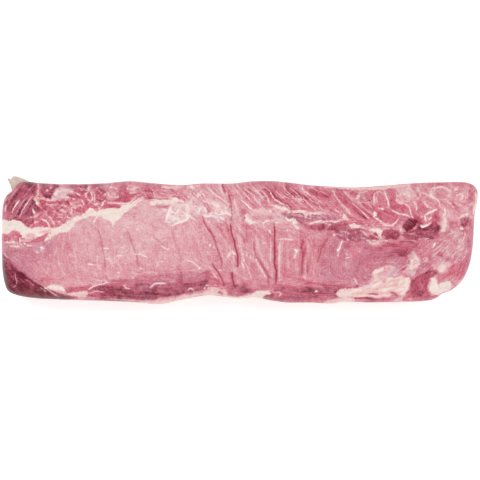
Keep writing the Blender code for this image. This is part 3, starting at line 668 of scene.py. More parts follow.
# Lighter and darker places: how much tone to add, how wide either side, and the stroke.
TONE_SHIFTS = [
    # The thick end, and the eye beside it.
    (-0.16, 2.2, [(63, 203), (68, 206), (72, 209)]),
    (-0.10, 1.8, [(74, 211), (78, 214), (81, 216)]),
    (-0.12, 2.2, [(13, 216), (19, 217), (27, 217)]),
    (-0.12, 1.8, [(31, 221), (34, 217), (38, 213.5)]),
    (-0.14, 1.4, [(36, 198.5), (39, 199.5), (42, 201)]),
    (-0.10, 2.5, [(40, 190), (46, 191), (50, 196)]),
    (-0.10, 2.0, [(92, 190), (95, 193), (98, 196)]),
    (-0.10, 2.2, [(7, 196), (9, 200), (11, 204)]),
    (-0.12, 2.5, [(47, 214), (51, 220), (55, 227)]),
    (-0.08, 1.2, [(34, 239.5), (38, 239.5), (42, 239)]),
    (0.07, 2.0, [(22, 181), (28, 184), (36, 187)]),
    (0.14, 1.5, [(54, 185.3), (63, 185.6), (73, 186)]),
    (0.12, 2.5, [(24, 206), (28, 208), (32, 213)]),
    (0.13, 3.5, [(5, 272), (11, 276), (16, 283)]),
    (0.03, 12.0, [(70, 246), (100, 243), (130, 238)]),
    (0.14, 2.2, [(54, 186), (58, 187), (60, 190)]),
    (0.10, 1.8, [(62, 185), (80, 185.5), (100, 185)]),
    (0.12, 2.0, [(15, 196), (18, 198), (21, 201)]),
    (0.12, 2.0, [(42, 209), (46, 211), (48, 211)]),
    (0.10, 2.0, [(56, 209), (60, 212), (62, 213)]),
    (0.05, 3.0, [(102, 191), (104, 198), (110, 206)]),
    (0.08, 3.0, [(3, 240), (5, 246), (9, 249)]),
    (0.10, 1.5, [(55, 298.5), (70, 299), (84, 299)]),
    # Painted shade along the same rim of the thick end's lower corner.
    (0.12, 3.0, [(4, 262), (5, 276), (10, 288), (16, 294)]),
    (0.14, 2.4, [(84, 183), (92, 184), (99, 187)]),
    (0.12, 2.4, [(39, 281), (45, 279.5), (52, 278.5)]),
    (0.10, 2.2, [(97, 200), (103, 201), (110, 201)]),
    (-0.16, 1.6, [(103.6, 194.5), (104.6, 197), (103.5, 200)]),
    (0.12, 2.4, [(26, 185), (31, 190), (34, 194)]),
    (0.13, 2.4, [(26, 201), (31, 201), (37, 202)]),
    (0.12, 2.0, [(51, 297), (61, 298), (74, 299)]),
    (0.12, 2.2, [(39, 185), (45, 186), (50, 188)]),
    (0.10, 2.4, [(52, 193), (57, 194), (61, 194)]),
    (0.12, 2.6, [(15, 270), (20, 274), (26, 278)]),
    (0.08, 3.0, [(3, 254), (7, 257), (12, 260)]),
    (0.09, 2.2, [(25, 184), (31, 185.5), (37, 186.5)]),
    (0.10, 1.8, [(4.5, 203), (4.3, 208), (4.5, 214)]),
    (0.10, 2.0, [(41, 190), (44, 194), (47, 197)]),
    (0.09, 2.2, [(85, 185), (92, 186), (98, 187)]),
    (0.08, 3.0, [(98, 292), (106, 293), (114, 293)]),
    # Up to the middle.
    (-0.18, 1.5, [(100, 300.6), (120, 300.6), (140, 301.8)]),
    (0.14, 2.6, [(114, 189), (117, 195), (120, 201)]),
    (0.12, 2.2, [(110, 293), (116, 294.5), (122, 296)]),
    (0.09, 2.6, [(112, 280), (117, 281), (122, 282)]),
    (0.08, 3.0, [(136, 255), (141, 257), (145, 258)]),
    (-0.10, 2.0, [(112, 184), (120, 184.5), (127, 186)]),
    (-0.16, 2.2, [(120, 191), (124, 193), (129, 196)]),
    (-0.12, 1.5, [(138, 194), (141, 195.5), (143, 197)]),
    (-0.12, 2.0, [(148, 187), (154, 187.5), (158, 188)]),
    (-0.14, 1.8, [(161, 190.5), (165, 191.5), (170, 192.5)]),
    (-0.13, 2.6, [(176, 187), (182, 191), (188, 197)]),
    (-0.22, 2.6, [(188, 199), (190.5, 206), (190, 213)]),
    (-0.14, 1.6, [(194, 192), (196, 194.5), (198, 196)]),
    (-0.14, 3.0, [(202, 190), (209, 196), (218, 203)]),
    (-0.10, 2.6, [(224, 185), (230, 189), (238, 192)]),
    (-0.22, 2.2, [(233, 200), (235.5, 207), (238, 213)]),
    (-0.10, 2.0, [(175, 203), (180, 205), (184, 207)]),
    (-0.08, 2.6, [(158, 213), (162, 216), (165, 219)]),
    (-0.08, 2.0, [(127, 205.5), (132, 206), (136, 205)]),
    (-0.10, 2.4, [(212, 225), (219, 234), (227, 244)]),
    (-0.08, 2.0, [(202, 222), (206, 230), (209, 239)]),
    (-0.14, 1.6, [(237.5, 234), (239, 241), (240, 247)]),
    (-0.10, 2.0, [(234, 221), (236, 226), (239, 230)]),
    (-0.11, 2.6, [(227, 251), (228.5, 256), (229, 261)]),
    (-0.10, 2.6, [(160, 278), (167, 281), (174, 282)]),
    (-0.12, 2.2, [(196, 284), (200, 282), (205, 279)]),
    (-0.08, 2.6, [(181, 269), (185, 273), (189, 277)]),
    (0.06, 3.0, [(132, 293), (141, 293.5), (152, 293)]),
    (0.12, 1.5, [(110, 206.5), (115, 207.3), (120, 207)]),
    (-0.16, 1.8, [(221, 285), (225, 288), (228, 291)]),
    (0.10, 1.5, [(138, 188), (140, 188.5), (141, 189)]),
    (0.10, 1.6, [(150, 200), (153, 202), (156, 203)]),
    (0.10, 2.2, [(160, 209), (166, 209), (172, 207)]),
    (0.10, 2.0, [(173, 218), (176, 218), (180, 217)]),
    (0.12, 1.8, [(205, 209), (208, 211), (210, 213)]),
    (0.14, 1.6, [(226, 226), (229, 234), (232, 243)]),
    (0.08, 2.2, [(173, 251), (177, 257), (181, 262)]),
    (0.10, 2.4, [(193, 265), (196, 269), (199, 272)]),
    (0.16, 2.6, [(206, 272), (211, 275), (216, 279)]),
    (0.10, 2.2, [(120, 286), (126, 288), (130, 290)]),
    (0.08, 3.0, [(149, 284), (154, 288), (158, 292)]),
    (0.10, 2.4, [(181, 282), (185, 285), (189, 288)]),
    (0.12, 1.8, [(158, 186), (164, 187), (170, 187)]),
    # From the middle on.
    (-0.14, 2.0, [(255, 186.5), (260, 187), (265, 186)]),
    (0.12, 2.2, [(339, 286), (344, 288), (349, 288)]),
    (-0.11, 2.4, [(351, 199), (356, 200), (361, 202)]),
    (-0.12, 1.8, [(243, 206), (245, 209), (246, 212)]),
    (-0.10, 1.8, [(256, 184), (261, 184), (266, 185)]),
    (-0.12, 2.2, [(251, 199), (256, 202), (261, 205)]),
    (-0.12, 1.8, [(273, 190), (276, 194), (280, 199)]),
    (-0.14, 2.0, [(260, 218), (267, 219), (274, 220)]),
    (-0.07, 3.0, [(265, 234), (266, 250), (268, 268)]),
    (0.03, 5.0, [(285, 246), (290, 255), (294, 264)]),
    (0.12, 2.5, [(349, 234), (355, 235.5), (361, 237)]),
    (-0.10, 2.2, [(340, 198), (345, 202.5), (350, 206)]),
    (0.05, 2.0, [(288, 298), (300, 298.5), (312, 298)]),
    (0.12, 3.0, [(241, 288), (245, 290.5), (250, 290)]),
    (-0.10, 1.5, [(271, 238), (271.5, 258), (272, 278)]),
    (-0.10, 2.2, [(252, 238), (253, 254), (255, 272)]),
    (-0.10, 2.2, [(243, 229), (245, 234), (246, 239)]),
    (-0.12, 1.6, [(296, 205), (299, 208), (300, 210)]),
    (-0.10, 1.6, [(301, 187), (306, 187.5), (311, 189)]),
    (-0.12, 1.8, [(305, 201), (309, 203), (312, 205)]),
    (-0.14, 2.0, [(313, 197), (319, 199.5), (325, 202)]),
    (-0.12, 1.6, [(328, 205), (332, 207), (336, 209)]),
    (-0.18, 2.0, [(319, 215), (323, 215.5), (326, 216)]),
    (-0.12, 2.2, [(291, 222), (296, 223), (300, 225)]),
    (-0.14, 2.0, [(340, 220), (344, 220.5), (347, 221)]),
    (-0.14, 3.0, [(340, 230), (344, 234), (348, 238)]),
    (-0.10, 1.8, [(299, 236), (299, 248), (299, 259)]),
    (-0.10, 2.4, [(313, 262), (316, 266), (319, 269)]),
    (-0.20, 2.4, [(312, 283), (317, 285), (321, 287)]),
    (-0.18, 2.2, [(318, 294), (325, 296), (334, 297)]),
    (-0.16, 2.0, [(350, 207), (353, 209), (356, 211)]),
    (-0.14, 2.0, [(348, 190), (352, 192), (357, 193)]),
    (0.16, 2.2, [(284, 192), (289, 196), (294, 199)]),
    (0.12, 1.4, [(302, 193), (306, 196), (309, 198)]),
    (0.12, 1.8, [(313, 203), (320, 206), (328, 209)]),
    (0.10, 2.0, [(341, 193), (345, 196), (349, 198)]),
    (0.14, 2.0, [(245, 215), (246.5, 219), (248, 222)]),
    (0.08, 2.2, [(241, 224), (242, 234), (243, 244)]),
    (0.12, 2.2, [(253, 263), (256, 269), (260, 274)]),
    (0.16, 2.4, [(258, 283), (262, 285), (266, 287)]),
    (0.12, 3.0, [(240, 283), (244, 286), (248, 289)]),
    (0.10, 3.0, [(292, 242), (294, 252), (295, 261)]),
    (0.12, 2.0, [(305, 246), (306, 260), (307, 274)]),
    (0.12, 2.2, [(309, 228), (313, 231), (316, 233)]),
    (0.16, 2.4, [(327, 230), (330, 233), (333, 236)]),
    (0.14, 3.4, [(342, 245), (350, 245), (360, 243)]),
    (0.12, 2.0, [(350, 226), (353, 228), (356, 229)]),
    (0.07, 1.6, [(281, 242), (281, 262), (281, 286)]),
    (0.14, 2.4, [(307, 288), (311, 290), (315, 292)]),
    (0.10, 2.0, [(293, 279), (295, 284), (297, 289)]),
    (0.10, 2.6, [(331, 285), (338, 287), (345, 285)]),
    (-0.18, 2.4, [(357, 237), (361, 238.5), (365, 240)]),
    (0.16, 1.6, [(357, 205), (362, 212), (367, 219)]),
    # The thin end.
    (0.18, 2.0, [(424, 185), (434, 184.6), (446, 184.6)]),
    (0.10, 2.4, [(363, 279), (367, 281), (370, 280)]),
    (0.06, 3.0, [(411, 290), (416, 292), (424, 292)]),
    (0.12, 2.6, [(399, 254), (404, 256), (409, 257)]),
    (0.09, 2.6, [(424, 239), (429, 240), (433, 241)]),
    (0.11, 2.6, [(436, 224), (440, 230), (438, 238), (442, 243)]),
    (-0.09, 2.4, [(460, 214), (464, 216), (469, 217)]),
    (-0.04, 2.5, [(374, 252), (381, 252.5), (388, 253)]),
    (-0.06, 2.0, [(463, 220), (464, 222), (465, 224)]),
    (0.16, 1.1, [(412, 185.6), (442, 185), (464, 185), (473, 187.6)]),
    (0.05, 3.0, [(433, 202), (444, 200), (456, 202)]),
    (-0.18, 2.2, [(378, 191), (383, 193), (389, 199)]),
    (-0.14, 2.0, [(360, 191), (363, 196), (366, 200)]),
    (-0.12, 2.4, [(395, 190), (399, 191), (402, 193)]),
    (-0.10, 2.4, [(412, 191), (416, 194), (419, 198)]),
    (-0.16, 2.2, [(430, 190), (433, 191), (436, 193)]),
    (-0.12, 2.6, [(441, 189), (446, 192), (451, 196)]),
    (-0.12, 2.0, [(366, 205), (370, 211), (373, 216)]),
    (-0.12, 2.0, [(381, 217), (388, 220), (395, 221)]),
    (-0.16, 1.8, [(402, 222), (404, 223), (406, 224)]),
    (-0.12, 2.4, [(426, 221), (431, 215), (436, 210)]),
    (-0.20, 2.4, [(465, 208), (468, 213), (471, 217)]),
    (-0.12, 3.0, [(450, 216), (456, 219), (462, 222)]),
    (-0.14, 2.0, [(381, 234), (383, 237), (385, 240)]),
    (-0.18, 2.0, [(448, 261), (449, 264), (450, 267)]),
    (-0.12, 2.4, [(450, 277), (453, 280), (456, 283)]),
    (-0.20, 2.6, [(406, 294), (409, 297), (412, 300)]),
    (0.16, 2.2, [(381, 210), (390, 211), (399, 213)]),
    (0.10, 2.6, [(451, 204), (455, 208), (459, 211)]),
    (0.18, 2.2, [(364, 241), (368, 241), (372, 242)]),
    (0.16, 2.2, [(374, 246), (378, 247), (382, 248)]),
    (0.16, 3.0, [(389, 244), (393, 247), (397, 250)]),
    (0.12, 2.4, [(399, 228), (401, 233), (402, 237)]),
    (0.14, 2.0, [(420, 227), (424, 228), (428, 229)]),
    (0.12, 4.0, [(411, 242), (418, 246), (428, 243)]),
    (0.12, 3.0, [(412, 248), (420, 256), (428, 260)]),
    (0.16, 3.0, [(438, 250), (443, 255), (448, 259)]),
    (0.12, 3.0, [(447, 224), (449, 231), (450, 238)]),
    (0.20, 2.4, [(460, 227), (461, 231), (462, 235)]),
    (0.14, 2.0, [(430, 298), (434, 299.5), (438, 300)]),
]

# Fat, with how pink it is: closed patches.
FAT_PATCHES = [
    (0.00, [(-6, 219.5), (6, 220.5), (11, 221.5), (18, 220.5), (23, 223.5), (28, 227.5), (33, 227.8),
            (41, 227.3), (50, 228.8), (47, 232), (41, 235), (36, 237), (31, 237.8), (25, 238), (21, 235.5),
            (18, 230.8), (14, 229.8), (9, 233.2), (4, 234), (-6, 233)]),
    (0.08, [(49, 229), (54, 228), (58, 226.5), (62, 224.8), (68, 222.3), (71.5, 219.5), (75, 217),
            (80, 214.3), (86, 212.5), (87, 217), (80, 219.3), (76, 222.5), (73, 228), (67, 232),
            (60, 233.5), (54, 236.5), (48, 240.5), (44, 241), (47, 237), (51, 233)]),
    (0.05, [(44.5, 289.3), (49, 286.3), (54, 284.6), (59, 284.8), (63, 288), (66, 292.7), (60, 291),
            (52, 289.8)]),
    (0.50, [(66, 293.8), (75, 292.6), (81, 290.6), (88, 290.8), (89, 295.5), (84, 297), (77, 297),
            (71, 295.5)]),
    (0.05, [(84, 213.5), (86, 210.5), (89, 208), (92.5, 208.3), (95, 210.3), (97, 212.3), (99, 210.4),
            (102, 208.8), (110, 209), (118, 208), (122, 205.8), (128, 203.8), (134, 203), (138, 200.3),
            (143, 198.3), (139, 202.5), (136, 205.3), (131, 209), (126, 213), (122, 216), (118.5, 218.5),
            (115.5, 223), (113.5, 226.8), (111.8, 223.5), (110, 221.5), (106, 220), (100, 217.3),
            (92, 216.3), (86, 216.5)]),
    (0.15, [(150, 200.5), (160, 199.8), (172, 198), (177, 200), (172, 204), (160, 204.5), (152, 206),
            (149, 203)]),
    (0.48, [(203, 293), (207, 290.6), (211, 289.3), (215, 288.2), (220, 288.3), (226, 291), (229, 296.5),
            (222, 297.5), (212, 300), (200, 300), (200, 296)]),
    (0.30, [(226, 295.8), (240, 295.2), (250, 294.8), (255, 292), (262, 289.8), (269.5, 289.5),
            (269.5, 292.5), (266, 294.5), (263, 297), (262, 304), (245, 305), (226, 303)]),
    (0.76, [(140, 302.5), (150, 301.6), (160, 300.6), (170, 299), (180, 296.8), (190, 294.6), (200, 293),
            (204, 297), (196, 302), (180, 308), (160, 310), (140, 309)]),
    (0.50, [(251, 208.5), (258, 207.8), (262, 210), (260, 214), (254, 212), (251, 211)]),
    (0.05, [(269, 205.3), (276, 205.3), (283, 207.3), (290, 211.5), (283, 210.8), (274, 209)]),
    (0.15, [(290, 212), (297, 210.5), (304, 210), (306, 213.5), (298, 213.3), (292, 214)]),
    (0.10, [(245, 213), (249, 214), (250, 219), (255, 222.5), (250, 223.8), (247, 221)]),
    (0.80, [(324, 186.4), (335, 187.4), (350, 188.6), (365, 189.6), (380, 189.4), (393, 188), (402, 186.3),
            (410, 184), (406, 181), (390, 181.6), (372, 182.4), (350, 182.6), (334, 182.6), (326, 183.6)]),
    (0.44, [(338.5, 290.5), (346, 289), (352, 288.3), (358, 288.5), (363, 286.8), (368, 284.5), (372, 282),
            (374, 277.5), (371.5, 273.5), (376, 270.5), (380, 268), (384, 266.3), (388, 266.5), (387, 269),
            (383.5, 271), (380, 274), (379, 277), (382, 277), (390, 275.5), (398, 277.5), (405, 280),
            (408, 284), (407, 292), (406.5, 297.5), (405, 298.5), (403, 295), (399, 292.8), (393, 293.5),
            (387, 296.5), (378, 297.3), (370, 297), (364, 296), (356, 297), (346, 297), (338.5, 296)]),
    (0.55, [(325, 300.5), (336, 298.3), (345, 297.8), (354, 299.8), (352, 306), (338, 308), (325, 308)]),
    (0.15, [(348.5, 224), (351, 222.8), (356, 224), (362, 226.5), (361, 228.2), (352, 228), (349, 227)]),
    (0.15, [(370, 227.7), (375, 227.5), (382, 229.3), (383.5, 232), (381.5, 235), (383, 239.5),
            (378.5, 236.5), (376, 232.5), (371, 231)]),
    (0.35, [(442.5, 214), (444.5, 210.5), (446.5, 214.5), (446.3, 221), (445.5, 228), (443.5, 232),
            (441, 232), (443, 227), (443, 220)]),
    (0.10, [(459.5, 216.5), (462, 214.5), (465.5, 212), (469, 212.5), (468.5, 215.5), (463.5, 216),
            (460.5, 218)]),
    (0.45, [(437, 268), (438.5, 264.5), (441, 262), (444, 264.5), (445.5, 268.5), (443.5, 271.5),
            (439.5, 271.3)]),
    (0.25, [(396, 277.5), (403, 277), (408.5, 279.3), (409, 282.5), (407.5, 287), (402, 289), (396, 285)]),
    (0.55, [(402, 191.5), (406, 190.3), (410.5, 191.8), (411.5, 195), (408, 197), (404, 196)]),
    (0.35, [(204, 199.5), (210, 200), (218, 203.5), (224, 206.5), (222, 209), (214, 206.5), (207, 203.5)]),
    (0.55, [(255, 208.5), (259, 208.5), (264, 210.5), (272, 212), (271, 214), (262, 213.8), (257, 212)]),
    (0.10, [(342, 215.5), (345, 215.5), (348.5, 219.5), (346.5, 221.5), (342, 218.5)]),
    (0.05, [(430, 284), (431, 280), (433.5, 277.5), (436.5, 280), (438, 285), (440, 284), (443, 281.5),
            (449, 280.5), (452.5, 284), (451.5, 289), (446, 292.5), (440.5, 294.5), (437, 296), (432, 293),
            (430, 289)]),
    (0.35, [(474.8, 190), (479, 194), (479, 204), (475.5, 212), (473, 214.5), (472.5, 212), (474.3, 206),
            (475.4, 198)]),
]

# Strokes where the lean shows through the fat: how wide either side.
FAT_CUTS = [
    (1.4, [(367.5, 294.6), (372, 293.3), (376.5, 294.5)]),
    (1.3, [(389, 291.5), (393, 292.5), (396.5, 295), (402, 297)]),
    (1.0, [(353.5, 298.7), (358, 297.5), (362, 297.3)]),
    (1.5, [(362, 300.4), (380, 299.8), (395, 299.5), (405, 300.8)]),
    (1.5, [(386, 298.4), (393, 297.2), (400, 296.6), (403.5, 298.5)]),
    (2.1, [(218.5, 293), (221.5, 292.3), (223.5, 295)]),
    (0.8, [(376, 290), (378, 287.3)]),
    (1.0, [(382.5, 282.3), (386, 279.3)]),
    (0.7, [(393, 286), (397, 284)]),
    (0.8, [(355.5, 285.5), (356.5, 287.7)]),
    (0.8, [(31.5, 224), (31.8, 229)]),
    (0.9, [(384.5, 268.5), (386.5, 270.5)]),
]

# Strokes of fat: how wide either side, and how pink.
FAT_STROKES = [
    # The thick end.
    (0.6, 0.1, [(38, 184), (38.3, 190)]),
    (1.6, 0.90, [(39, 232), (44, 232), (50, 231)]),
    (0.8, 0.2, [(37.5, 192.5), (38, 195)]),
    (0.8, 0.1, [(35, 197), (37, 203), (38.5, 206)]),
    (0.6, 0.4, [(36, 196.5), (39.5, 198.3), (43.5, 199.3), (48, 200.6), (54, 199.3)]),
    (0.55, 0.0, [(32.5, 209), (34, 212), (36, 214.5)]),
    (1.6, 0.8, [(34, 217.5), (37, 215.5)]),
    (1.2, 0.7, [(34.5, 222), (38, 222)]),
    (1.0, 0.3, [(52, 196.5), (53.5, 199.5)]),
    (0.9, 0.3, [(46.2, 190), (48, 189.7)]),
    (1.0, 0.2, [(3, 242.5), (12, 242), (17, 243)]),
    (1.0, 0.3, [(9, 245.5), (13, 246.5), (20, 246.5)]),
    (0.8, 0.2, [(20, 239), (20.5, 243), (22, 246)]),
    (1.1, 0.2, [(24, 243), (27, 245), (31, 246)]),
    (0.9, 0.1, [(50, 231), (49, 234), (46.5, 238), (44.5, 241)]),
    (0.9, 0.2, [(57, 233.5), (53, 236), (50, 239)]),
    (0.9, 0.1, [(42, 219.5), (46, 221), (48.5, 224), (50, 228), (52.5, 230)]),
    (2.4, 1.0, [(26, 236.8), (30, 236), (34, 235.5)]),
    # The squiggles beside it.
    (1.5, 0.3, [(55, 196), (57, 192), (61, 190.5)]),
    (0.9, 0.4, [(62, 190.5), (67, 189.7), (71, 190.5)]),
    (1.1, 0.6, [(60, 194.5), (64, 196), (66, 198.5)]),
    (1.2, 0.2, [(66.8, 197), (69, 197.3)]),
    (1.0, 0.5, [(71, 206.5), (72, 210), (71, 213.5)]),
    (0.7, 0.5, [(73.5, 206.8), (77.5, 208)]),
    (0.8, 0.5, [(61.5, 210.3), (67, 211.5)]),
    (0.6, 0.4, [(66.5, 217), (70, 218)]),
    (0.8, 0.5, [(49, 216), (52, 219)]),
    (0.9, 0.5, [(51.5, 220), (54, 224)]),
    (0.7, 0.5, [(57, 221.3), (61, 221.7)]),
    (0.9, 0.6, [(42, 198), (46, 199.5), (50, 200)]),
    (1.1, 0.7, [(89, 184.5), (89, 191)]),
    (0.7, 0.5, [(77, 187), (81.5, 188.8)]),
    (0.8, 0.5, [(104.8, 185), (108, 186.5)]),
    (0.8, 0.5, [(109.5, 188.5), (114, 187.5), (118, 189.5)]),
    (1.3, 0.6, [(108.3, 193), (109.8, 194.4)]),
    (1.1, 0.5, [(111.6, 197.2), (112.6, 196.6)]),
    (1.1, 0.6, [(114.4, 193.6), (115.4, 194.6)]),
    (1.0, 0.5, [(117.4, 196.8), (118.6, 196.4)]),
    (0.8, 0.5, [(104.3, 194), (106.3, 194.8)]),
    (1.2, 0.6, [(130, 189), (133, 190), (135, 188)]),
    (1.0, 0.6, [(130, 192.5), (135, 192)]),
    (1.0, 0.1, [(98, 216), (95, 220), (93.5, 224)]),
    # The middle, and the seam beyond it.
    (1.0, 0.2, [(147, 202.5), (151, 203.5), (156, 204)]),
    (1.2, 0.4, [(180.5, 204.5), (183.5, 206)]),
    (2.6, 0.3, [(185.5, 203), (188, 208), (187.3, 214)]),
    (1.8, 0.35, [(188.5, 202), (191.5, 203.3)]),
    (1.0, 0.5, [(190, 207), (191.3, 211)]),
    (1.3, 0.2, [(171.3, 206), (168.8, 213), (166, 220)]),
    (0.9, 0.2, [(173, 225.5), (180, 221), (187, 217.5)]),
    (0.9, 0.3, [(172, 206), (175, 203.6), (179, 206), (179.6, 211), (176, 213.5)]),
    (1.9, 0.4, [(203, 201), (210, 202.5), (216, 205.5), (221, 208)]),
    (1.2, 0.3, [(202, 213), (205, 216.5), (210, 216), (213, 213)]),
    (1.2, 0.3, [(214, 212), (219, 211.5), (224, 213.5), (229, 215.5)]),
    (0.9, 0.1, [(219.5, 215.5), (222.5, 218), (224.5, 221)]),
    (1.3, 0.6, [(162, 187), (169, 186.3), (177, 187.5)]),
    (0.9, 0.6, [(182, 186.3), (189, 185.5), (198, 186)]),
    (0.8, 0.5, [(188, 196), (192, 198), (196, 197), (199, 193.5)]),
    (1.6, 0.1, [(187, 214.5), (187.8, 218)]),
    (1.3, 0.1, [(167.3, 214.5), (167.8, 218.5)]),
    (1.6, 0.5, [(211, 206.5), (216, 209), (221, 211)]),
    (1.1, 0.5, [(191, 187.5), (196, 186), (200, 184.5)]),
    (1.2, 0.6, [(234.8, 201), (235.5, 208), (237, 214)]),
    (1.1, 0.1, [(271, 206), (274, 207.5), (280, 207), (286, 209), (288, 212)]),
    (1.0, 0.3, [(288, 213), (292, 211.5)]),
    (1.0, 0.3, [(304, 214.5), (312, 213.8), (320, 214.5)]),
    (1.5, 0.1, [(286, 217.5), (289, 220), (293, 219.7), (294.5, 223), (297, 227), (299, 229)]),
    (1.3, 0.2, [(292, 219), (296, 222), (297, 225)]),
    (0.9, 0.2, [(263, 223.5), (266, 221.3), (270, 220.7), (273, 222)]),
    (1.1, 0.2, [(274, 221.5), (280, 223.5)]),
    (0.8, 0.2, [(308, 224.5), (314, 223), (320, 221)]),
    (1.2, 0.3, [(312, 214), (318, 213), (325, 212)]),
    (1.0, 0.05, [(338, 216), (342, 216), (346, 219.5)]),
    (0.8, 0.3, [(296, 199), (300, 199.5), (303, 202)]),
    # The thin end.
    (1.2, 0.2, [(429, 195.3), (431, 197), (433.8, 198.7)]),
    (0.8, 0.4, [(422, 191.8), (425.5, 193), (428.5, 195.5)]),
    (0.9, 0.4, [(454.8, 190.2), (457, 188.4), (458.8, 187)]),
    (1.4, 0.4, [(356, 200.5), (358.5, 196), (360.5, 191.5)]),
    (1.2, 0.7, [(374.5, 193.5), (374.6, 200), (374.3, 206)]),
    (1.1, 0.3, [(378, 208.2), (384, 208.5)]),
    (1.5, 0.2, [(374.5, 211.5), (375, 216)]),
    (1.5, 0.7, [(397, 198), (399.5, 202), (402, 204)]),
    (1.0, 0.5, [(430.8, 193), (431.5, 198)]),
    (1.2, 0.6, [(457.5, 195), (461, 195), (462.5, 199)]),
    (1.0, 0.6, [(454.5, 189.5), (457, 188)]),
    (1.0, 0.7, [(417.5, 187.5), (419, 191.5)]),
    (1.1, 0.7, [(422, 191.5), (427, 194)]),
    (1.0, 0.3, [(402, 228), (401, 231)]),
    (0.9, 0.3, [(420, 225.5), (424, 226.5), (428, 225.3)]),
    (0.9, 0.2, [(460.5, 227.5), (463.5, 229.5)]),
    (0.9, 0.4, [(384, 240), (388, 240.5)]),
    # Along the belly rim.
    (0.5, 0.4, [(204.5, 290), (205, 286.2), (207.3, 284.8), (209.2, 286.6), (208.2, 289.2), (205.8, 290.3)]),
    (0.4, 0.5, [(208, 291), (212, 288), (216, 285.8)]),
    (0.5, 0.95, [(212, 294.5), (216, 291), (219, 289.6)]),
    (1.4, 0.90, [(193, 296.5), (200, 296.5), (207, 295.5)]),
    (1.2, 0.85, [(326, 301.5), (332, 302), (338, 301.5)]),
    (0.7, 1.0, [(90, 299.8), (104, 300.2), (120, 300.7), (140, 301.8), (150, 303)]),
    # Pink through the membrane of the belly side, and the fat beside it.
    (2.0, 0.75, [(347, 294.5), (355, 294), (364, 292.5)]),
    (0.5, 0.95, [(352, 292), (372, 288.3), (390, 286.3), (404, 287)]),
    (0.5, 0.90, [(362, 295.3), (378, 293.5), (398, 293)]),
    (0.5, 0.90, [(369, 284.7), (384, 281.2), (398, 279.6)]),
    (0.5, -0.10, [(360, 290.7), (376, 286), (392, 283.5), (405, 284.5)]),
    (1.2, 0.1, [(413, 253), (415.5, 257), (419.5, 260.5)]),
    (1.2, 0.3, [(419, 262.5), (415, 265), (411, 270)]),
    (1.2, 1.0, [(370, 291), (378, 287.5), (386, 283), (394, 280.5)]),
    (1.0, 0.95, [(352, 293.5), (362, 291.5), (371, 288)]),
    (0.9, 0.8, [(394, 288.5), (400, 285), (405, 281.5)]),
    (1.3, 1.0, [(382, 282), (387, 280)]),
    (1.0, 1.0, [(378, 277.5), (386, 274), (389, 273)]),
    (0.9, 1.0, [(376, 283), (382, 279)]),
    (0.8, 0.0, [(372, 286), (382, 282), (392, 278.5)]),
    (0.8, 0.1, [(380, 291), (390, 288), (400, 282.5)]),
    (0.8, 0.1, [(345, 292), (356, 291), (364, 288.5)]),
    (1.5, 0.4, [(413, 252.5), (415.5, 257), (418.5, 261.5)]),
    (1.4, 0.3, [(412.5, 260), (411.5, 265), (410, 271)]),
    (1.1, 0.6, [(417, 261), (415.5, 266), (412, 270)]),
    (2.0, 0.15, [(372.5, 276.5), (375.5, 272.5), (380.5, 269.7), (385.5, 267.3)]),
    (1.2, 0.75, [(369.5, 242.5), (374, 243.8), (379, 243)]),
    (0.7, 0.7, [(372, 240.6), (379, 240.5), (386, 240)]),
]
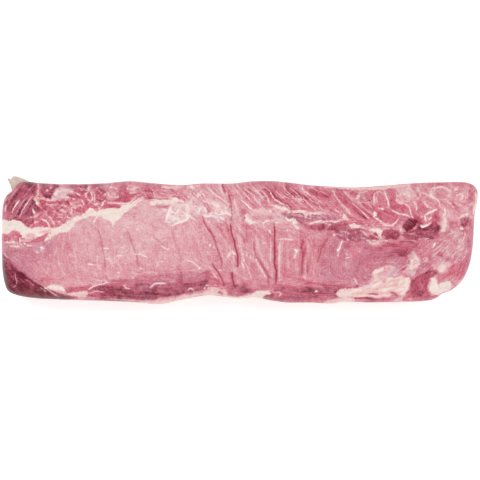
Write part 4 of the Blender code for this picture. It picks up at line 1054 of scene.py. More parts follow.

# Thin white lines and glints: how strong, how wide either side. Some are white membrane and fat; the glints,
# and the pale lines on the ridges beside the creases, are painted highlights of light on the wet film.
WHITE_LINES_AND_GLINTS = [
    # The thick end.
    (0.85, 0.5, [(12, 212.5), (15, 206), (17, 203), (19.5, 200.5)]),
    (1.0, 0.65, [(15.5, 205), (17.5, 202.5)]),
    (0.45, 0.4, [(20, 217), (23, 211), (26, 206)]),
    (0.40, 0.4, [(8, 201), (11, 196), (15, 192)]),
    (0.20, 0.4, [(12, 196), (17, 190), (22, 186)]),
    (0.22, 0.4, [(24, 197), (29, 190), (33, 186)]),
    (0.40, 0.4, [(26, 219), (29, 218), (32, 217)]),
    (0.70, 0.45, [(20.5, 216), (24.5, 208), (27.5, 203.5), (30.5, 199), (33.5, 196)]),
    (0.6, 0.6, [(6.5, 204), (6, 208), (5.5, 212)]),
    (0.35, 0.5, [(20, 206), (24, 200), (27, 197)]),
    (0.3, 0.5, [(16, 214), (19, 208)]),
    (0.9, 0.8, [(31, 217), (32, 217)]),
    (0.8, 0.8, [(50, 188), (51, 188)]),
    (1.0, 1.0, [(66.8, 222.8), (68.2, 222.4)]),
    (0.9, 0.9, [(40, 247), (44, 248)]),
    (0.5, 0.8, [(36, 252.5), (39, 252)]),
    (0.4, 1.0, [(41, 250), (41, 248)]),
    (0.3, 0.45, [(25, 279), (31, 283), (33, 285)]),
    (0.35, 0.45, [(15, 272), (15.5, 277), (17, 280), (16, 285), (12, 289)]),
    (0.5, 0.6, [(45, 288), (52, 293), (58, 297)]),
    (0.4, 0.5, [(40, 288), (47, 292)]),
    (0.5, 0.6, [(4, 253), (8, 258), (10, 259)]),
    # The squiggles beside it.
    (1.0, 0.8, [(71, 191.3), (72.3, 191.8)]),
    (0.9, 0.6, [(75, 192.5), (77, 193.5), (81, 195.5)]),
    (0.8, 0.6, [(88, 192), (85.5, 194), (86, 197), (88, 198.5)]),
    (0.8, 0.6, [(90.5, 192.5), (92, 195), (92.5, 199), (91, 201.5)]),
    (0.7, 0.6, [(95, 193), (94.5, 199), (95, 202)]),
    (0.7, 0.6, [(87, 199), (90, 201), (88.5, 203.5)]),
    (1.0, 0.7, [(95.5, 203.5), (99, 203.5)]),
    (0.8, 0.6, [(104, 201), (102.5, 204), (101, 207)]),
    (0.7, 0.6, [(81.5, 200), (83.5, 204), (84, 205.5)]),
    (0.6, 0.6, [(76, 205.5), (81, 205.5), (83, 208)]),
    (0.6, 0.7, [(72, 198.5), (75, 199.3)]),
    (0.8, 0.7, [(71.2, 204.3), (71.9, 204.3)]),
    (0.6, 0.6, [(64.5, 205.5), (67, 206.5)]),
    (0.6, 0.6, [(51, 205), (50.5, 207)]),
    (0.6, 0.8, [(98.5, 208.3), (100, 208.3)]),
    (0.5, 0.5, [(77, 187), (82, 188.5)]),
    (0.5, 0.5, [(80, 190.5), (84, 190), (90, 190.8)]),
    (0.5, 0.5, [(61.5, 210), (64, 211.5), (67.5, 211.5)]),
    (0.5, 0.5, [(66.5, 217), (70, 218)]),
    (0.6, 0.5, [(49, 216), (52, 219)]),
    (0.6, 0.5, [(51.5, 220), (54, 224)]),
    (0.45, 0.5, [(46, 203), (49, 205), (53, 204.5)]),
    (0.4, 0.5, [(55, 205), (58, 204), (60, 205)]),
    (0.4, 0.5, [(43, 210), (46, 212), (47, 216)]),
    (0.55, 0.45, [(57, 208.5), (60, 206), (65, 205.5), (69, 207.5), (70.5, 211)]),
    (0.5, 0.45, [(59, 212), (62, 209.5), (66, 210)]),
    (0.5, 0.45, [(44, 206), (49, 204.5), (54, 206.5)]),
    (0.5, 0.45, [(56, 218), (60, 216.5), (64, 218.5)]),
    (0.45, 0.45, [(72, 201.5), (76, 202.5), (79, 201)]),
    (0.5, 0.45, [(78, 198.5), (82, 200), (84, 203)]),
    (0.45, 0.45, [(53, 209), (55, 212), (53, 215)]),
    (0.45, 0.45, [(96, 189), (99, 187), (103, 188)]),
    (0.5, 0.45, [(63, 193.5), (66, 195.5), (65, 198.5)]),
    (0.45, 0.5, [(56, 212), (59, 214), (62, 214)]),
    (0.4, 0.5, [(64, 219), (66, 217), (65, 214.5)]),
    (0.4, 0.5, [(74, 211), (76, 213), (79, 213)]),
    (0.45, 0.5, [(98, 191), (101, 193), (102, 197)]),
    (0.4, 0.5, [(98, 198), (101, 199.5), (103, 199)]),
    # The chine side, up to the middle.
    (0.85, 0.55, [(101, 207), (103.5, 203), (105, 200.5), (107, 202), (112, 203), (120, 203.5), (128, 203),
                  (132, 201), (135, 198.5), (138, 196.5)]),
    (0.8, 0.6, [(128, 203.5), (132, 203), (137, 200.5), (140, 198)]),
    (0.6, 0.6, [(110, 187.5), (114, 188), (118, 190)]),
    (0.5, 0.6, [(106.4, 191), (108, 194.5), (110.5, 197.5)]),
    (0.5, 0.6, [(112, 193), (114.5, 194), (115.5, 197.3), (118.5, 197)]),
    (0.8, 0.8, [(128, 188.5), (129, 188.5)]),
    (0.6, 0.5, [(151, 189), (153, 191), (154, 195), (156, 198)]),
    (0.5, 0.5, [(157, 190.5), (161, 192.5), (165, 194)]),
    (0.5, 0.5, [(145, 201), (150, 199.5), (155, 199.5)]),
    (0.45, 0.5, [(143, 191), (145, 194), (146, 197)]),
    (0.4, 0.5, [(168, 189), (171, 192), (173, 195)]),
    (0.45, 0.5, [(163, 196), (168, 196.5), (172, 196)]),
    # The membrane at the middle, and the bundles above it.
    (0.8, 0.8, [(172, 205), (169, 209), (168, 213), (167, 217), (166, 221)]),
    (0.5, 0.5, [(172.5, 207), (174, 205.2), (176, 207), (174.5, 209.3), (172.5, 207.5)]),
    (0.7, 0.7, [(170.5, 226), (175, 224), (179, 221.5), (184, 220.5), (188, 218), (190, 215)]),
    (0.9, 1.0, [(186.8, 215), (187.8, 218)]),
    (0.5, 0.6, [(180, 203), (181, 207), (180, 211)]),
    (0.85, 0.6, [(174, 203), (170.5, 207), (171.5, 211.5), (175, 213), (178.5, 210.5), (178, 206),
                 (175, 204)]),
    (0.6, 0.6, [(168, 216), (172, 217.5), (175, 215)]),
    (0.7, 0.7, [(184, 203), (187.5, 206), (186, 210.5), (189, 213)]),
    (0.6, 0.6, [(178, 213), (181, 216), (185, 216), (188, 213)]),
    (0.6, 0.6, [(171, 222), (175, 219), (180, 218.5)]),
    (0.85, 0.6, [(192, 207), (196, 206), (200, 210), (197, 213.5)]),
    (0.7, 0.6, [(206, 202), (212, 205), (219, 207)]),
    (0.85, 0.6, [(208, 214), (214, 212.5), (220, 214.5), (226, 214)]),
    (0.8, 0.8, [(200, 207.7), (202, 208.3)]),
    (0.6, 0.5, [(196.5, 209), (198, 213), (200, 215)]),
    (0.8, 0.7, [(203, 214.5), (205, 217.5), (208, 217), (212, 215.5), (217, 217.5)]),
    (0.8, 0.6, [(219, 216), (222, 219.5), (224, 221)]),
    (0.9, 0.7, [(224, 210.5), (227, 213), (231, 216)]),
    (0.7, 0.5, [(183, 192), (187, 195.5), (190, 198)]),
    (0.8, 0.5, [(186, 190), (190, 193.5), (193, 197), (195, 198.5), (198, 197), (200, 193)]),
    (0.6, 0.5, [(200, 190), (201, 196), (203, 200)]),
    (0.45, 0.6, [(161, 186), (168, 185), (176, 186.5)]),
    (0.45, 0.5, [(180, 185.5), (188, 184.8), (197, 185.5)]),
    (0.45, 0.5, [(205, 187), (212, 192.5), (219, 199)]),
    (0.40, 0.5, [(198, 187), (203, 193), (208, 197)]),
    (0.40, 0.5, [(217, 187), (222, 192), (227, 197)]),
    (0.45, 0.5, [(234, 197), (235, 204), (238, 211)]),
    (0.40, 0.5, [(234, 187), (238, 193), (241, 197)]),
    (0.8, 0.6, [(209, 188), (215, 194), (222, 199), (228, 204), (231, 206)]),
    (0.6, 0.5, [(202, 192), (205, 198), (210, 203)]),
    (0.7, 0.5, [(213, 187), (219, 192), (226, 199)]),
    (0.8, 0.5, [(220.5, 187), (223, 193)]),
    (0.45, 0.5, [(206, 186), (210, 190), (213, 195)]),
    (0.9, 0.9, [(172, 226), (176, 223.5), (182, 222.5), (187, 220), (191, 215)]),
    (0.8, 0.9, [(165.5, 222), (167, 216), (169, 211), (171, 208)]),
    (0.5, 0.8, [(178, 218), (177, 212), (180, 206)]),
    # The diagonal bundles and the seam below them.
    (0.7, 0.5, [(241, 190), (244, 193), (248, 197), (251, 201)]),
    (1.0, 0.8, [(240, 200), (244, 202), (248, 206), (252, 209)]),
    (0.6, 0.5, [(255, 190), (261, 196), (267, 197)]),
    (0.7, 0.5, [(266.5, 195), (268.5, 200), (270, 205)]),
    (0.7, 0.5, [(277, 191), (281, 196), (285, 199)]),
    (0.8, 0.6, [(303, 185), (303, 190), (307, 193), (311, 196)]),
    (0.7, 0.5, [(300, 196), (306, 201), (311, 206), (316, 211)]),
    (0.45, 0.5, [(237, 186), (241, 189), (246, 195)]),
    (0.45, 0.5, [(247, 185), (253, 190), (258, 194)]),
    (0.4, 0.5, [(254, 200), (260, 203), (266, 206)]),
    (0.5, 0.5, [(290, 188), (296, 193), (300, 197)]),
    (0.45, 0.5, [(316, 198), (322, 203), (328, 209)]),
    (0.9, 0.6, [(286, 217.5), (289, 220), (293, 219.7), (294, 223), (296, 227), (298, 229)]),
    (0.5, 0.5, [(304.5, 214), (306.5, 216.5), (305.5, 219)]),
    (0.5, 0.5, [(309, 215), (311, 217.5), (310, 219.5)]),
    (0.4, 0.5, [(316, 217), (319, 218.5), (322, 217.5)]),
    (0.8, 0.6, [(309, 224.5), (314, 223), (320, 221)]),
    (0.6, 0.5, [(263, 224), (266, 221), (270, 220.5), (273, 222)]),
    (0.6, 0.7, [(247, 216), (248, 221), (252, 223.5), (255, 223)]),
    (0.65, 0.5, [(258, 189), (264, 194), (268, 199), (269, 205)]),
    (0.9, 0.5, [(262, 187), (269, 190), (272, 195), (275, 199.5), (281, 203), (287, 206), (290, 210)]),
    (0.5, 0.5, [(278, 189), (283, 195), (290, 200), (296, 206)]),
    (0.75, 0.5, [(283, 184), (285, 189), (290, 194), (295, 199)]),
    (0.45, 0.5, [(284, 191), (290, 197), (300, 203), (308, 209)]),
    (0.6, 0.5, [(302, 192), (310, 199), (318, 204), (322, 210)]),
    (0.4, 0.5, [(310, 187), (318, 191), (326, 194)]),
    (0.5, 0.7, [(244, 187), (248, 191), (254, 196), (258, 204)]),
    (0.5, 0.7, [(252, 186), (258, 192), (264, 200)]),
    # Flecks and glints in the eye.
    (0.75, 0.7, [(134, 254.2), (140, 254), (144, 255.5), (148, 257.3)]),
    (0.8, 0.8, [(117, 255.7), (122, 256.3)]),
    (0.8, 0.9, [(88, 264), (93, 264.6)]),
    (0.5, 0.6, [(94, 265), (103, 265.2)]),
    (0.7, 0.7, [(103, 248), (109, 249)]),
    (0.6, 0.7, [(105, 258.5), (110, 258.5)]),
    (0.6, 0.9, [(117, 272.6), (120, 273)]),
    (0.8, 0.8, [(136.5, 229), (137.2, 230.5)]),
    (0.6, 0.7, [(141.5, 240), (144, 240)]),
    (0.7, 0.7, [(140, 267.5), (142, 269)]),
    (0.6, 0.8, [(133, 271.5), (134, 273)]),
    (0.6, 0.7, [(132, 277), (134, 279)]),
    (0.6, 0.8, [(161, 261.5), (163, 262)]),
    (0.5, 0.7, [(120, 236.5), (123, 237)]),
    (0.5, 0.6, [(80, 242), (84, 242.3)]),
    (0.5, 0.6, [(58, 262), (60, 265)]),
    (0.5, 0.6, [(47, 262), (49, 264.5)]),
    (0.5, 0.6, [(72, 256), (76, 256.4)]),
    (0.5, 0.6, [(112, 240), (115, 240.4)]),
    (0.5, 0.6, [(150, 240), (153, 239.6)]),
    (0.5, 0.6, [(158, 252), (161, 252.6)]),
    (0.5, 0.6, [(124, 263), (127, 263.4)]),
    (0.5, 0.6, [(96, 256), (99, 256.5)]),
    (0.5, 0.6, [(174, 255), (178, 256)]),
    (0.45, 0.6, [(176, 236), (180, 236.6)]),
    (0.45, 0.6, [(120, 248), (124, 247.6)]),
    (1.0, 1.2, [(199, 267.3), (200.3, 268.3)]),
    (0.6, 0.8, [(186, 261), (192, 262), (196, 264.5), (200, 268)]),
    (0.8, 1.3, [(209.5, 245.5), (211, 245)]),
    (0.4, 0.8, [(184, 252), (190, 254)]),
    (0.7, 0.9, [(232, 250), (234, 253), (236, 255)]),
    (0.6, 1.0, [(228, 258), (228.5, 255)]),
    (0.5, 1.0, [(230, 252), (229, 256)]),
    (0.8, 1.1, [(219.5, 270), (220.3, 270.4)]),
    (0.7, 0.8, [(241.5, 261), (243, 265), (245, 269)]),
    (0.5, 0.8, [(212, 272), (215, 275), (217, 278)]),
    (0.6, 0.8, [(160, 246), (166, 248.5), (170, 249)]),
    (0.9, 0.9, [(294, 249), (297, 250.5)]),
    (0.9, 0.9, [(298.3, 249.8), (295.5, 253)]),
    (0.6, 0.8, [(296, 254), (294.5, 257.5)]),
    (0.9, 1.1, [(286.5, 230.5), (287.3, 231.5)]),
    (0.7, 0.9, [(269, 230), (270.5, 233)]),
    (0.6, 0.7, [(263.5, 226), (264, 223.5), (266, 222)]),
    (0.5, 0.8, [(278, 239.3), (286, 239.3), (294, 240)]),
    (0.6, 0.7, [(256, 262), (261, 269), (266, 277)]),
    (0.35, 0.8, [(245, 262), (249, 270), (252, 280)]),
    (0.3, 0.9, [(271, 243), (270.5, 262)]),
    (0.35, 0.9, [(279.5, 243), (279, 262), (279, 282)]),
    (0.3, 0.8, [(283, 240), (282, 252)]),
    (0.5, 0.8, [(246, 254), (247, 257)]),
    (0.5, 0.8, [(249, 257), (251, 258)]),
    (0.45, 0.8, [(243, 259), (244.5, 261)]),
    (0.4, 0.8, [(255, 262), (258, 259)]),
    (0.35, 0.9, [(262, 244), (266, 242)]),
    # From the ribs to the thin end.
    (0.9, 0.5, [(411.5, 215.3), (412, 217.5)]),
    (0.9, 0.5, [(430.8, 194), (431.3, 190.6)]),
    (0.7, 0.7, [(431, 190.4), (434, 188.2), (438.5, 187.1), (443.5, 187.8), (448, 189.8), (451.5, 192)]),
    (0.6, 0.5, [(446, 201), (449, 204), (454, 207.5)]),
    (0.5, 0.5, [(421.5, 198), (424, 203), (427.5, 207.3), (432, 208.3)]),
    (0.5, 0.5, [(446.5, 209.5), (448.5, 212), (449.3, 215.5)]),
    (0.6, 0.5, [(463, 193.5), (463.6, 198), (461, 202)]),
    (0.5, 0.5, [(395, 192), (397, 196), (396, 200), (399, 204)]),
    (0.9, 0.5, [(421.5, 215), (422.5, 217.6)]),
    (1.0, 0.6, [(425.5, 216.5), (425.6, 220.5)]),
    (1.0, 0.6, [(428.8, 219.8), (430.6, 218)]),
    (0.8, 0.5, [(330, 190.5), (333, 192), (335, 196), (338, 200), (341, 203), (346, 208), (350, 213),
                (353, 216.5)]),
    (0.8, 0.5, [(351, 201), (355, 205), (360, 210), (365, 214.5), (369, 218), (372, 222)]),
    (0.65, 0.45, [(356, 199), (359, 203), (363, 207), (368, 211), (372, 214)]),
    (0.9, 0.7, [(384, 191), (386, 196), (387.5, 200), (389, 205), (389, 208)]),
    (0.9, 0.7, [(374, 211), (375, 214), (374, 217), (377, 219), (382, 222), (387, 225), (392, 225),
                (396, 222), (399, 218)]),
    (0.8, 0.6, [(392, 210), (396, 212), (400, 214), (406, 215), (410, 217)]),
    (0.8, 0.6, [(320, 221), (326, 221.5), (335, 222), (340, 220.5)]),
    (0.5, 0.5, [(362, 192.5), (368, 190.5)]),
    (0.5, 0.6, [(374.5, 194), (374.5, 205)]),
    (0.45, 0.5, [(364, 202), (369, 204), (373, 209)]),
    (0.45, 0.5, [(344, 191), (347, 195), (350, 198)]),
    (0.5, 0.5, [(378, 192), (377, 198), (378, 205)]),
    (0.8, 0.6, [(334, 234), (334.5, 236.5)]),
    (0.45, 0.5, [(360, 231), (364, 233), (366, 236)]),
    (0.5, 0.5, [(346, 232), (350, 234)]),
    (0.5, 0.5, [(371, 233), (375, 236), (380, 238)]),
    (0.5, 0.5, [(384, 228), (388, 229), (391, 228)]),
    (1.0, 1.4, [(338, 248.5), (337.5, 250.5)]),
    (0.7, 0.7, [(343, 241), (340, 246), (338.5, 250)]),
    (0.4, 0.8, [(338, 252), (338.5, 257)]),
    (0.5, 0.8, [(345.5, 258), (350, 257.5)]),
    (0.4, 0.8, [(345, 263), (346.5, 266)]),
    (0.6, 0.8, [(354, 277), (356, 281), (357.5, 284)]),
    (0.4, 0.8, [(346, 253), (347, 256)]),
    (1.0, 0.9, [(403.5, 194), (404.7, 194)]),
    (0.9, 0.8, [(409, 195.5), (409.5, 196.5)]),
    (0.8, 0.6, [(398, 199), (403, 203), (408, 206), (410, 210), (411, 215), (413, 218)]),
    (0.8, 0.6, [(412, 200), (415, 203), (417, 206), (417, 210)]),
    (1.0, 0.8, [(425, 215), (430, 212.5), (434, 210.5), (438, 209)]),
    (0.9, 0.7, [(425, 216), (426, 221)]),
    (1.0, 1.0, [(430, 218), (431, 218)]),
    (0.8, 0.7, [(420, 225.5), (424, 226.5), (428, 225), (431, 222)]),
    (0.9, 0.8, [(445, 208), (445, 213)]),
    (0.6, 0.5, [(452, 240), (455, 237), (458, 234)]),
    (0.5, 0.5, [(464, 232), (466, 236), (467, 240)]),
    (0.5, 0.5, [(459, 238), (460, 244), (458, 249)]),
    (0.5, 0.5, [(447, 236), (452, 233), (458, 232)]),
    (0.4, 0.5, [(442, 243), (447, 241), (452, 243), (456, 247)]),
    (0.4, 0.5, [(436, 238), (441, 240), (444, 238)]),
    (0.4, 0.5, [(462, 244), (466, 246), (467, 251)]),
    (0.4, 0.5, [(450, 228), (452, 231), (456, 231)]),
    (0.4, 0.5, [(438, 249), (444, 252), (450, 251)]),
    (0.4, 0.5, [(456, 252), (461, 250), (464, 247)]),
    (0.4, 0.5, [(433, 256), (438, 257), (442, 260)]),
    (0.8, 0.6, [(430, 192), (431, 196), (434, 199), (438, 201), (440, 205), (443, 208)]),
    (0.7, 0.6, [(421, 192), (425, 193), (428, 195.5)]),
    (0.7, 0.6, [(417, 187), (419, 191), (420, 195)]),
    (0.6, 0.6, [(454, 190), (457, 188)]),
    (0.7, 0.6, [(456, 196), (460, 194), (463, 193)]),
    (0.5, 0.6, [(460, 201.5), (463.5, 195)]),
    (0.6, 0.5, [(447, 200), (450, 204), (454, 208)]),
    (0.7, 0.5, [(424, 200), (427, 205), (431, 208)]),
    (0.4, 0.5, [(405, 188), (411, 190), (414, 194)]),
    (0.4, 0.5, [(437, 191), (443, 193), (449, 198)]),
    (0.4, 0.5, [(463, 188), (467, 192), (468, 198)]),
    (0.55, 0.5, [(434, 199), (433, 194), (435, 189.5), (440, 187.5), (446, 188.5), (449, 193), (448, 198)]),
    (0.45, 0.5, [(448, 198), (443, 200.5), (437, 200)]),
    (0.45, 0.5, [(403, 188), (401, 193), (397, 197)]),
    (0.5, 0.5, [(412, 197), (409, 201), (404, 201), (400, 198)]),
    (0.5, 0.5, [(417, 200), (420, 196), (421, 191)]),
    (0.45, 0.5, [(455, 203), (459, 205), (464, 205)]),
    (0.45, 0.5, [(465, 192), (466, 198), (464, 203)]),
    (0.5, 0.5, [(376, 193), (380, 191.5), (383, 193.5)]),
    (0.4, 0.5, [(361, 202.5), (366, 201.8), (372, 202)]),
    (1.0, 1.0, [(435, 243), (434, 246)]),
    (0.5, 0.6, [(434, 246.5), (432.5, 248)]),
    (0.4, 0.6, [(426, 238), (430, 239)]),
    (0.45, 0.6, [(406, 233), (410, 234), (414, 233)]),
    # Down the belly side.
    (0.6, 0.8, [(88, 289.5), (95, 286), (103, 284), (107, 283)]),
    (0.5, 0.7, [(88, 293.5), (94, 291.8), (105, 292.5)]),
    (0.5, 0.8, [(124, 285), (126, 288), (130, 289)]),
    (0.7, 0.8, [(150, 288), (153, 285), (158, 283.3), (166, 283.5)]),
    (0.4, 0.8, [(97, 281), (104, 281), (110, 284)]),
    (0.6, 0.6, [(188, 290.5), (190, 288), (192, 289), (194, 291.5)]),
    (0.9, 0.9, [(315.5, 291.5), (317.5, 291)]),
    (0.4, 0.8, [(276, 292), (281, 294), (278, 297)]),
    # Threads in the membrane of the belly side.
    (0.5, 0.5, [(352, 290), (362, 287), (372, 283), (380, 278)]),
    (0.45, 0.5, [(356, 293), (368, 290), (380, 286), (390, 281)]),
    (0.4, 0.5, [(372, 289), (384, 285), (396, 281)]),
    (0.7, 0.7, [(402, 286), (404, 291), (405, 297)]),
]

# Thin film and membrane over the meat: how strong, how soft, and the patch.
FROST_PATCHES = [
    (0.70, 2.5, [(168, 203), (180, 203), (188, 206), (192, 214), (188, 220), (180, 222.5), (172, 225),
                 (167, 223), (165, 216), (166, 210)]),
    (0.95, 1.0, [(168.5, 208), (171, 204), (173, 204), (170.5, 210), (170, 216), (168, 221), (165.5, 221),
                 (166, 214)]),
    (0.90, 1.2, [(184.5, 202), (189, 203), (191.5, 210), (190.5, 217), (187, 219.5), (185.5, 213)]),
    (0.95, 1.2, [(196, 206), (202, 205), (206, 208), (207, 214), (201, 212), (197, 210)]),
    (0.90, 1.2, [(222, 204), (229, 207), (231.5, 211), (231.5, 216), (226, 215), (222, 210)]),
    (0.8, 1.5, [(54, 190), (62, 187.5), (72, 188), (74, 192), (66, 193.5), (60, 199), (54, 200)]),
    (0.35, 1.5, [(104, 184), (110, 184), (119, 190), (119, 197), (112, 199), (104, 196)]),
    (0.4, 1.5, [(128, 188), (134, 186.5), (139, 187), (139, 192), (134, 193), (128, 191)]),
    (0.35, 2.5, [(145, 200), (168, 204), (164, 216), (150, 222), (138, 214), (138, 206)]),
    (0.70, 2.0, [(184, 200), (198, 199), (203, 202), (202, 212), (206, 217), (192, 214), (185, 207)]),
    (0.70, 2.0, [(210, 199), (222, 203), (231, 208), (232, 214), (222, 219), (206, 218), (213, 213),
                 (214, 205)]),
    (0.45, 2.5, [(250, 210), (276, 210), (290, 214), (284, 221), (262, 219), (252, 220)]),
    (0.60, 1.2, [(256, 199), (260, 197), (263, 200), (260, 203)]),
    (0.55, 1.8, [(398, 190), (405, 188), (413, 190), (414, 198), (408, 201), (400, 199)]),
    (0.50, 1.2, [(439, 212), (445, 208), (449, 216), (449, 230), (444, 235), (439, 234), (441, 226)]),
    (0.55, 1.5, [(434, 267), (437, 262), (441, 259.5), (446, 263), (448, 270), (443, 274), (436, 273)]),
    (0.85, 1.2, [(389, 268), (391, 265.5), (395, 264), (399, 265.5), (398.5, 270), (400, 275),
                 (393, 276.5), (387, 276)]),
    (0.35, 2.0, [(388, 262), (399, 262), (400, 270), (399, 276), (394, 276)]),
    (0.65, 1.5, [(408, 256), (413, 250), (420, 259), (420, 267), (413, 274), (407, 276), (407, 266)]),
    (0.50, 1.5, [(367, 241), (374, 239.5), (386, 239.5), (386, 243), (378, 247), (369, 245)]),
    (0.45, 1.5, [(366, 282), (373, 276), (372, 284), (364, 289), (352, 291)]),
    (0.35, 2.0, [(445, 226), (458, 226), (464, 236), (462, 252), (450, 258), (440, 250), (441, 236)]),
    (0.30, 3.0, [(70, 215), (140, 222), (150, 250), (120, 262), (80, 256), (68, 238)]),
    # This patch and the two after it are the pale haze round glints: painted highlights.
    (0.55, 1.2, [(294, 252), (297, 248), (300, 250), (297, 256), (294, 259)]),
    (0.40, 1.0, [(336, 256), (337, 246), (342, 241), (341, 248), (339, 257)]),
    (0.40, 1.5, [(36, 247), (45, 246), (46, 250), (40, 253), (35, 252)]),
]

# Places where fat breaks up into fine flecks and squiggles: how much, how soft, and the patch.
FLECK_PATCHES = [
    (0.45, 3.0, [(50, 192), (100, 190), (104, 208), (86, 210), (66, 224), (54, 226), (52, 212), (51, 201)]),
    (0.50, 2.0, [(104, 186), (118, 186), (120, 198), (106, 199)]),
    (0.50, 3.0, [(128, 184), (180, 184), (200, 186), (200, 206), (180, 204), (140, 198)]),
    (0.95, 3.0, [(164, 202), (190, 199), (232, 204), (232, 222), (200, 222), (188, 218), (168, 224)]),
    (0.50, 3.0, [(246, 206), (300, 208), (300, 226), (246, 224)]),
    (0.60, 2.0, [(302, 210), (346, 212), (346, 224), (304, 224)]),
    (0.60, 2.0, [(336, 228), (356, 222), (402, 226), (402, 241), (360, 242), (338, 240)]),
    (0.45, 3.0, [(402, 230), (424, 228), (440, 232), (430, 240), (404, 240)]),
    (0.40, 3.0, [(396, 186), (470, 186), (470, 214), (440, 212), (414, 204)]),
    (0.48, 3.0, [(440, 226), (470, 226), (471, 250), (458, 264), (438, 262), (426, 246)]),
    (0.60, 2.0, [(408, 250), (424, 250), (428, 268), (410, 276)]),
    (0.50, 2.0, [(204, 282), (228, 284), (228, 297), (204, 297)]),
    (0.40, 3.0, [(185, 285), (200, 285), (200, 292), (185, 292)]),
    (0.50, 2.0, [(2, 236), (26, 236), (40, 244), (24, 248), (2, 247)]),
    (0.35, 5.0, [(70, 250), (200, 256), (200, 276), (80, 280)]),
]

# Where streaks along the fibres show, and how strong: with soft edges.
STREAK_PATCHES = [
    (0.8, 3.0, [(40, 180), (475, 178), (475, 215), (440, 214), (404, 226), (372, 228), (318, 213),
                (240, 212), (180, 203), (142, 198), (112, 208), (70, 218), (50, 226)]),
    (0.45, 8.0, [(198, 220), (262, 222), (330, 234), (330, 286), (215, 286)]),
    (0.35, 4.0, [(358, 186), (420, 184), (475, 178), (475, 215), (440, 214), (404, 226), (372, 226),
                 (358, 206)]),
    (0.3, 3.0, [(44, 182), (140, 182), (142, 198), (112, 208), (70, 218), (46, 226), (40, 208)]),
    (0.5, 2.0, [(-4, 180), (44, 180), (44, 210), (30, 226), (-4, 220)]),
    (0.3, 2.0, [(-6, 252), (20, 272), (80, 300), (-6, 306)]),
    (0.6, 2.0, [(86, 284), (204, 278), (204, 300), (86, 300)]),
    (0.6, 2.0, [(228, 284), (345, 286), (345, 306), (228, 304)]),
    (0.15, 4.0, [(320, 240), (372, 240), (372, 276), (330, 284), (318, 262)]),
    (0.4, 3.0, [(362, 242), (430, 240), (430, 256), (400, 266), (364, 264)]),
    (0.8, 2.0, [(338, 296), (350, 288), (370, 276), (386, 262), (402, 262), (408, 297)]),
    (0.6, 2.0, [(405, 268), (472, 250), (466, 284), (440, 300), (405, 304)]),
]
EYE_STREAK = 0.15


def smoothstep(low, high, value):
    t = np.clip((value - low) / (high - low), 0, 1)
    return t * t * (3 - 2 * t)


def smooth_line(points, spacing, closed=False):
    """A smooth curve through the points, as points about that far apart."""
    points = np.array(points, float)
    if closed:
        points = np.vstack([points[-1:], points, points[:2]])
    else:
        points = np.vstack([2 * points[0] - points[1], points, 2 * points[-1] - points[-2]])
    along = np.concatenate([[0], np.cumsum(np.linalg.norm(np.diff(points, axis=0), axis=1))])
    slopes = (points[2:] - points[:-2]) / (along[2:] - along[:-2])[:, None]
    points = points[1:-1]
    knots = along[1:-1]
    at = np.linspace(knots[0], knots[-1], max(2, int(np.ceil((knots[-1] - knots[0]) / spacing)) + 1))
    k = np.clip(np.searchsorted(knots, at, side="right") - 1, 0, len(knots) - 2)
    width = (knots[k + 1] - knots[k])[:, None]
    t = (at - knots[k])[:, None] / width
    return ((1 + 2 * t) * (1 - t) ** 2 * points[k] + t * (1 - t) ** 2 * width * slopes[k]
            + t * t * (3 - 2 * t) * points[k + 1] + t * t * (t - 1) * width * slopes[k + 1])


def to_metres(pixels):
    """Places in the picture as metres, at the widest level."""
    pixels = np.array(pixels, float)
    return np.stack([pixels[..., 0] - PICTURE_CENTRE[0], PICTURE_CENTRE[1] - pixels[..., 1]], -1) * PIXEL


def to_pixels(x, y, z):
    """Where the camera sees a point."""
    pixels_per_metre = (CAMERA_HEIGHT - WIDEST_LEVEL) / (CAMERA_HEIGHT - z) / PIXEL
    return PICTURE_CENTRE[0] + x * pixels_per_metre, PICTURE_CENTRE[1] - y * pixels_per_metre


def noise(x, y, z, wave, seed):
    """Smooth noise from -1 to 1, with features about one wave wide."""
    values = np.random.default_rng(seed).uniform(-1, 1, NOISE_VALUES)
    cell = [np.floor(v / wave).astype(np.int64) for v in (x, y, z)]
    share = [smoothstep(0, 1, v / wave - c) for v, c in zip((x, y, z), cell)]
    total = 0.0
    for corner in range(8):
        steps = [(corner >> axis) & 1 for axis in range(3)]
        spot = [(c + s) * prime for c, s, prime in zip(cell, steps, NOISE_PRIMES)]
        weight = 1.0
        for t, s in zip(share, steps):
            weight = weight * (t if s else 1 - t)
        total = total + weight * values[(spot[0] ^ spot[1] ^ spot[2]) % NOISE_VALUES]
    return total


def cloud(x, y, wave, seed, octaves=3):
    """Noise in the picture's pixels, rough at every size below one wave."""
    total = 0.0
    for k in range(octaves):
        total = total + noise(x, y, np.zeros_like(x), wave / 2 ** k, seed + k) / CLOUD_FALL ** k
    return total


def line_distance(line, px, py):
    """Distance to a line of points, 1 on its right side or -1 on its left, and how far along it, 0 to 1."""
    start = line[:-1]
    run = np.diff(line, axis=0)
    dx = px[:, None] - start[:, 0]
    dy = py[:, None] - start[:, 1]
    t = np.clip((dx * run[:, 0] + dy * run[:, 1]) / (run ** 2).sum(axis=1), 0, 1)
    dx -= t * run[:, 0]
    dy -= t * run[:, 1]
    far = np.hypot(dx, dy)
    nearest = far.argmin(axis=1)
    row = np.arange(len(px))
    side = np.sign(run[nearest, 0] * dy[row, nearest] - run[nearest, 1] * dx[row, nearest])
    return far[row, nearest], np.where(side == 0, 1.0, side), (nearest + t[row, nearest]) / len(run)


def near_line(points, margin, px, py, closed=False):
    """The smooth line, and which of the places lie close enough to matter."""
    line = smooth_line(points, LINE_SPACING, closed)
    low = line.min(axis=0) - margin
    high = line.max(axis=0) + margin
    return line, np.flatnonzero((px > low[0]) & (px < high[0]) & (py > low[1]) & (py < high[1]))


def fading_ends(along, share=END_FADE):
    """1 along a line, easing to 0 over that share of it at both of its ends."""
    return smoothstep(0, share, along) * smoothstep(0, share, 1 - along)


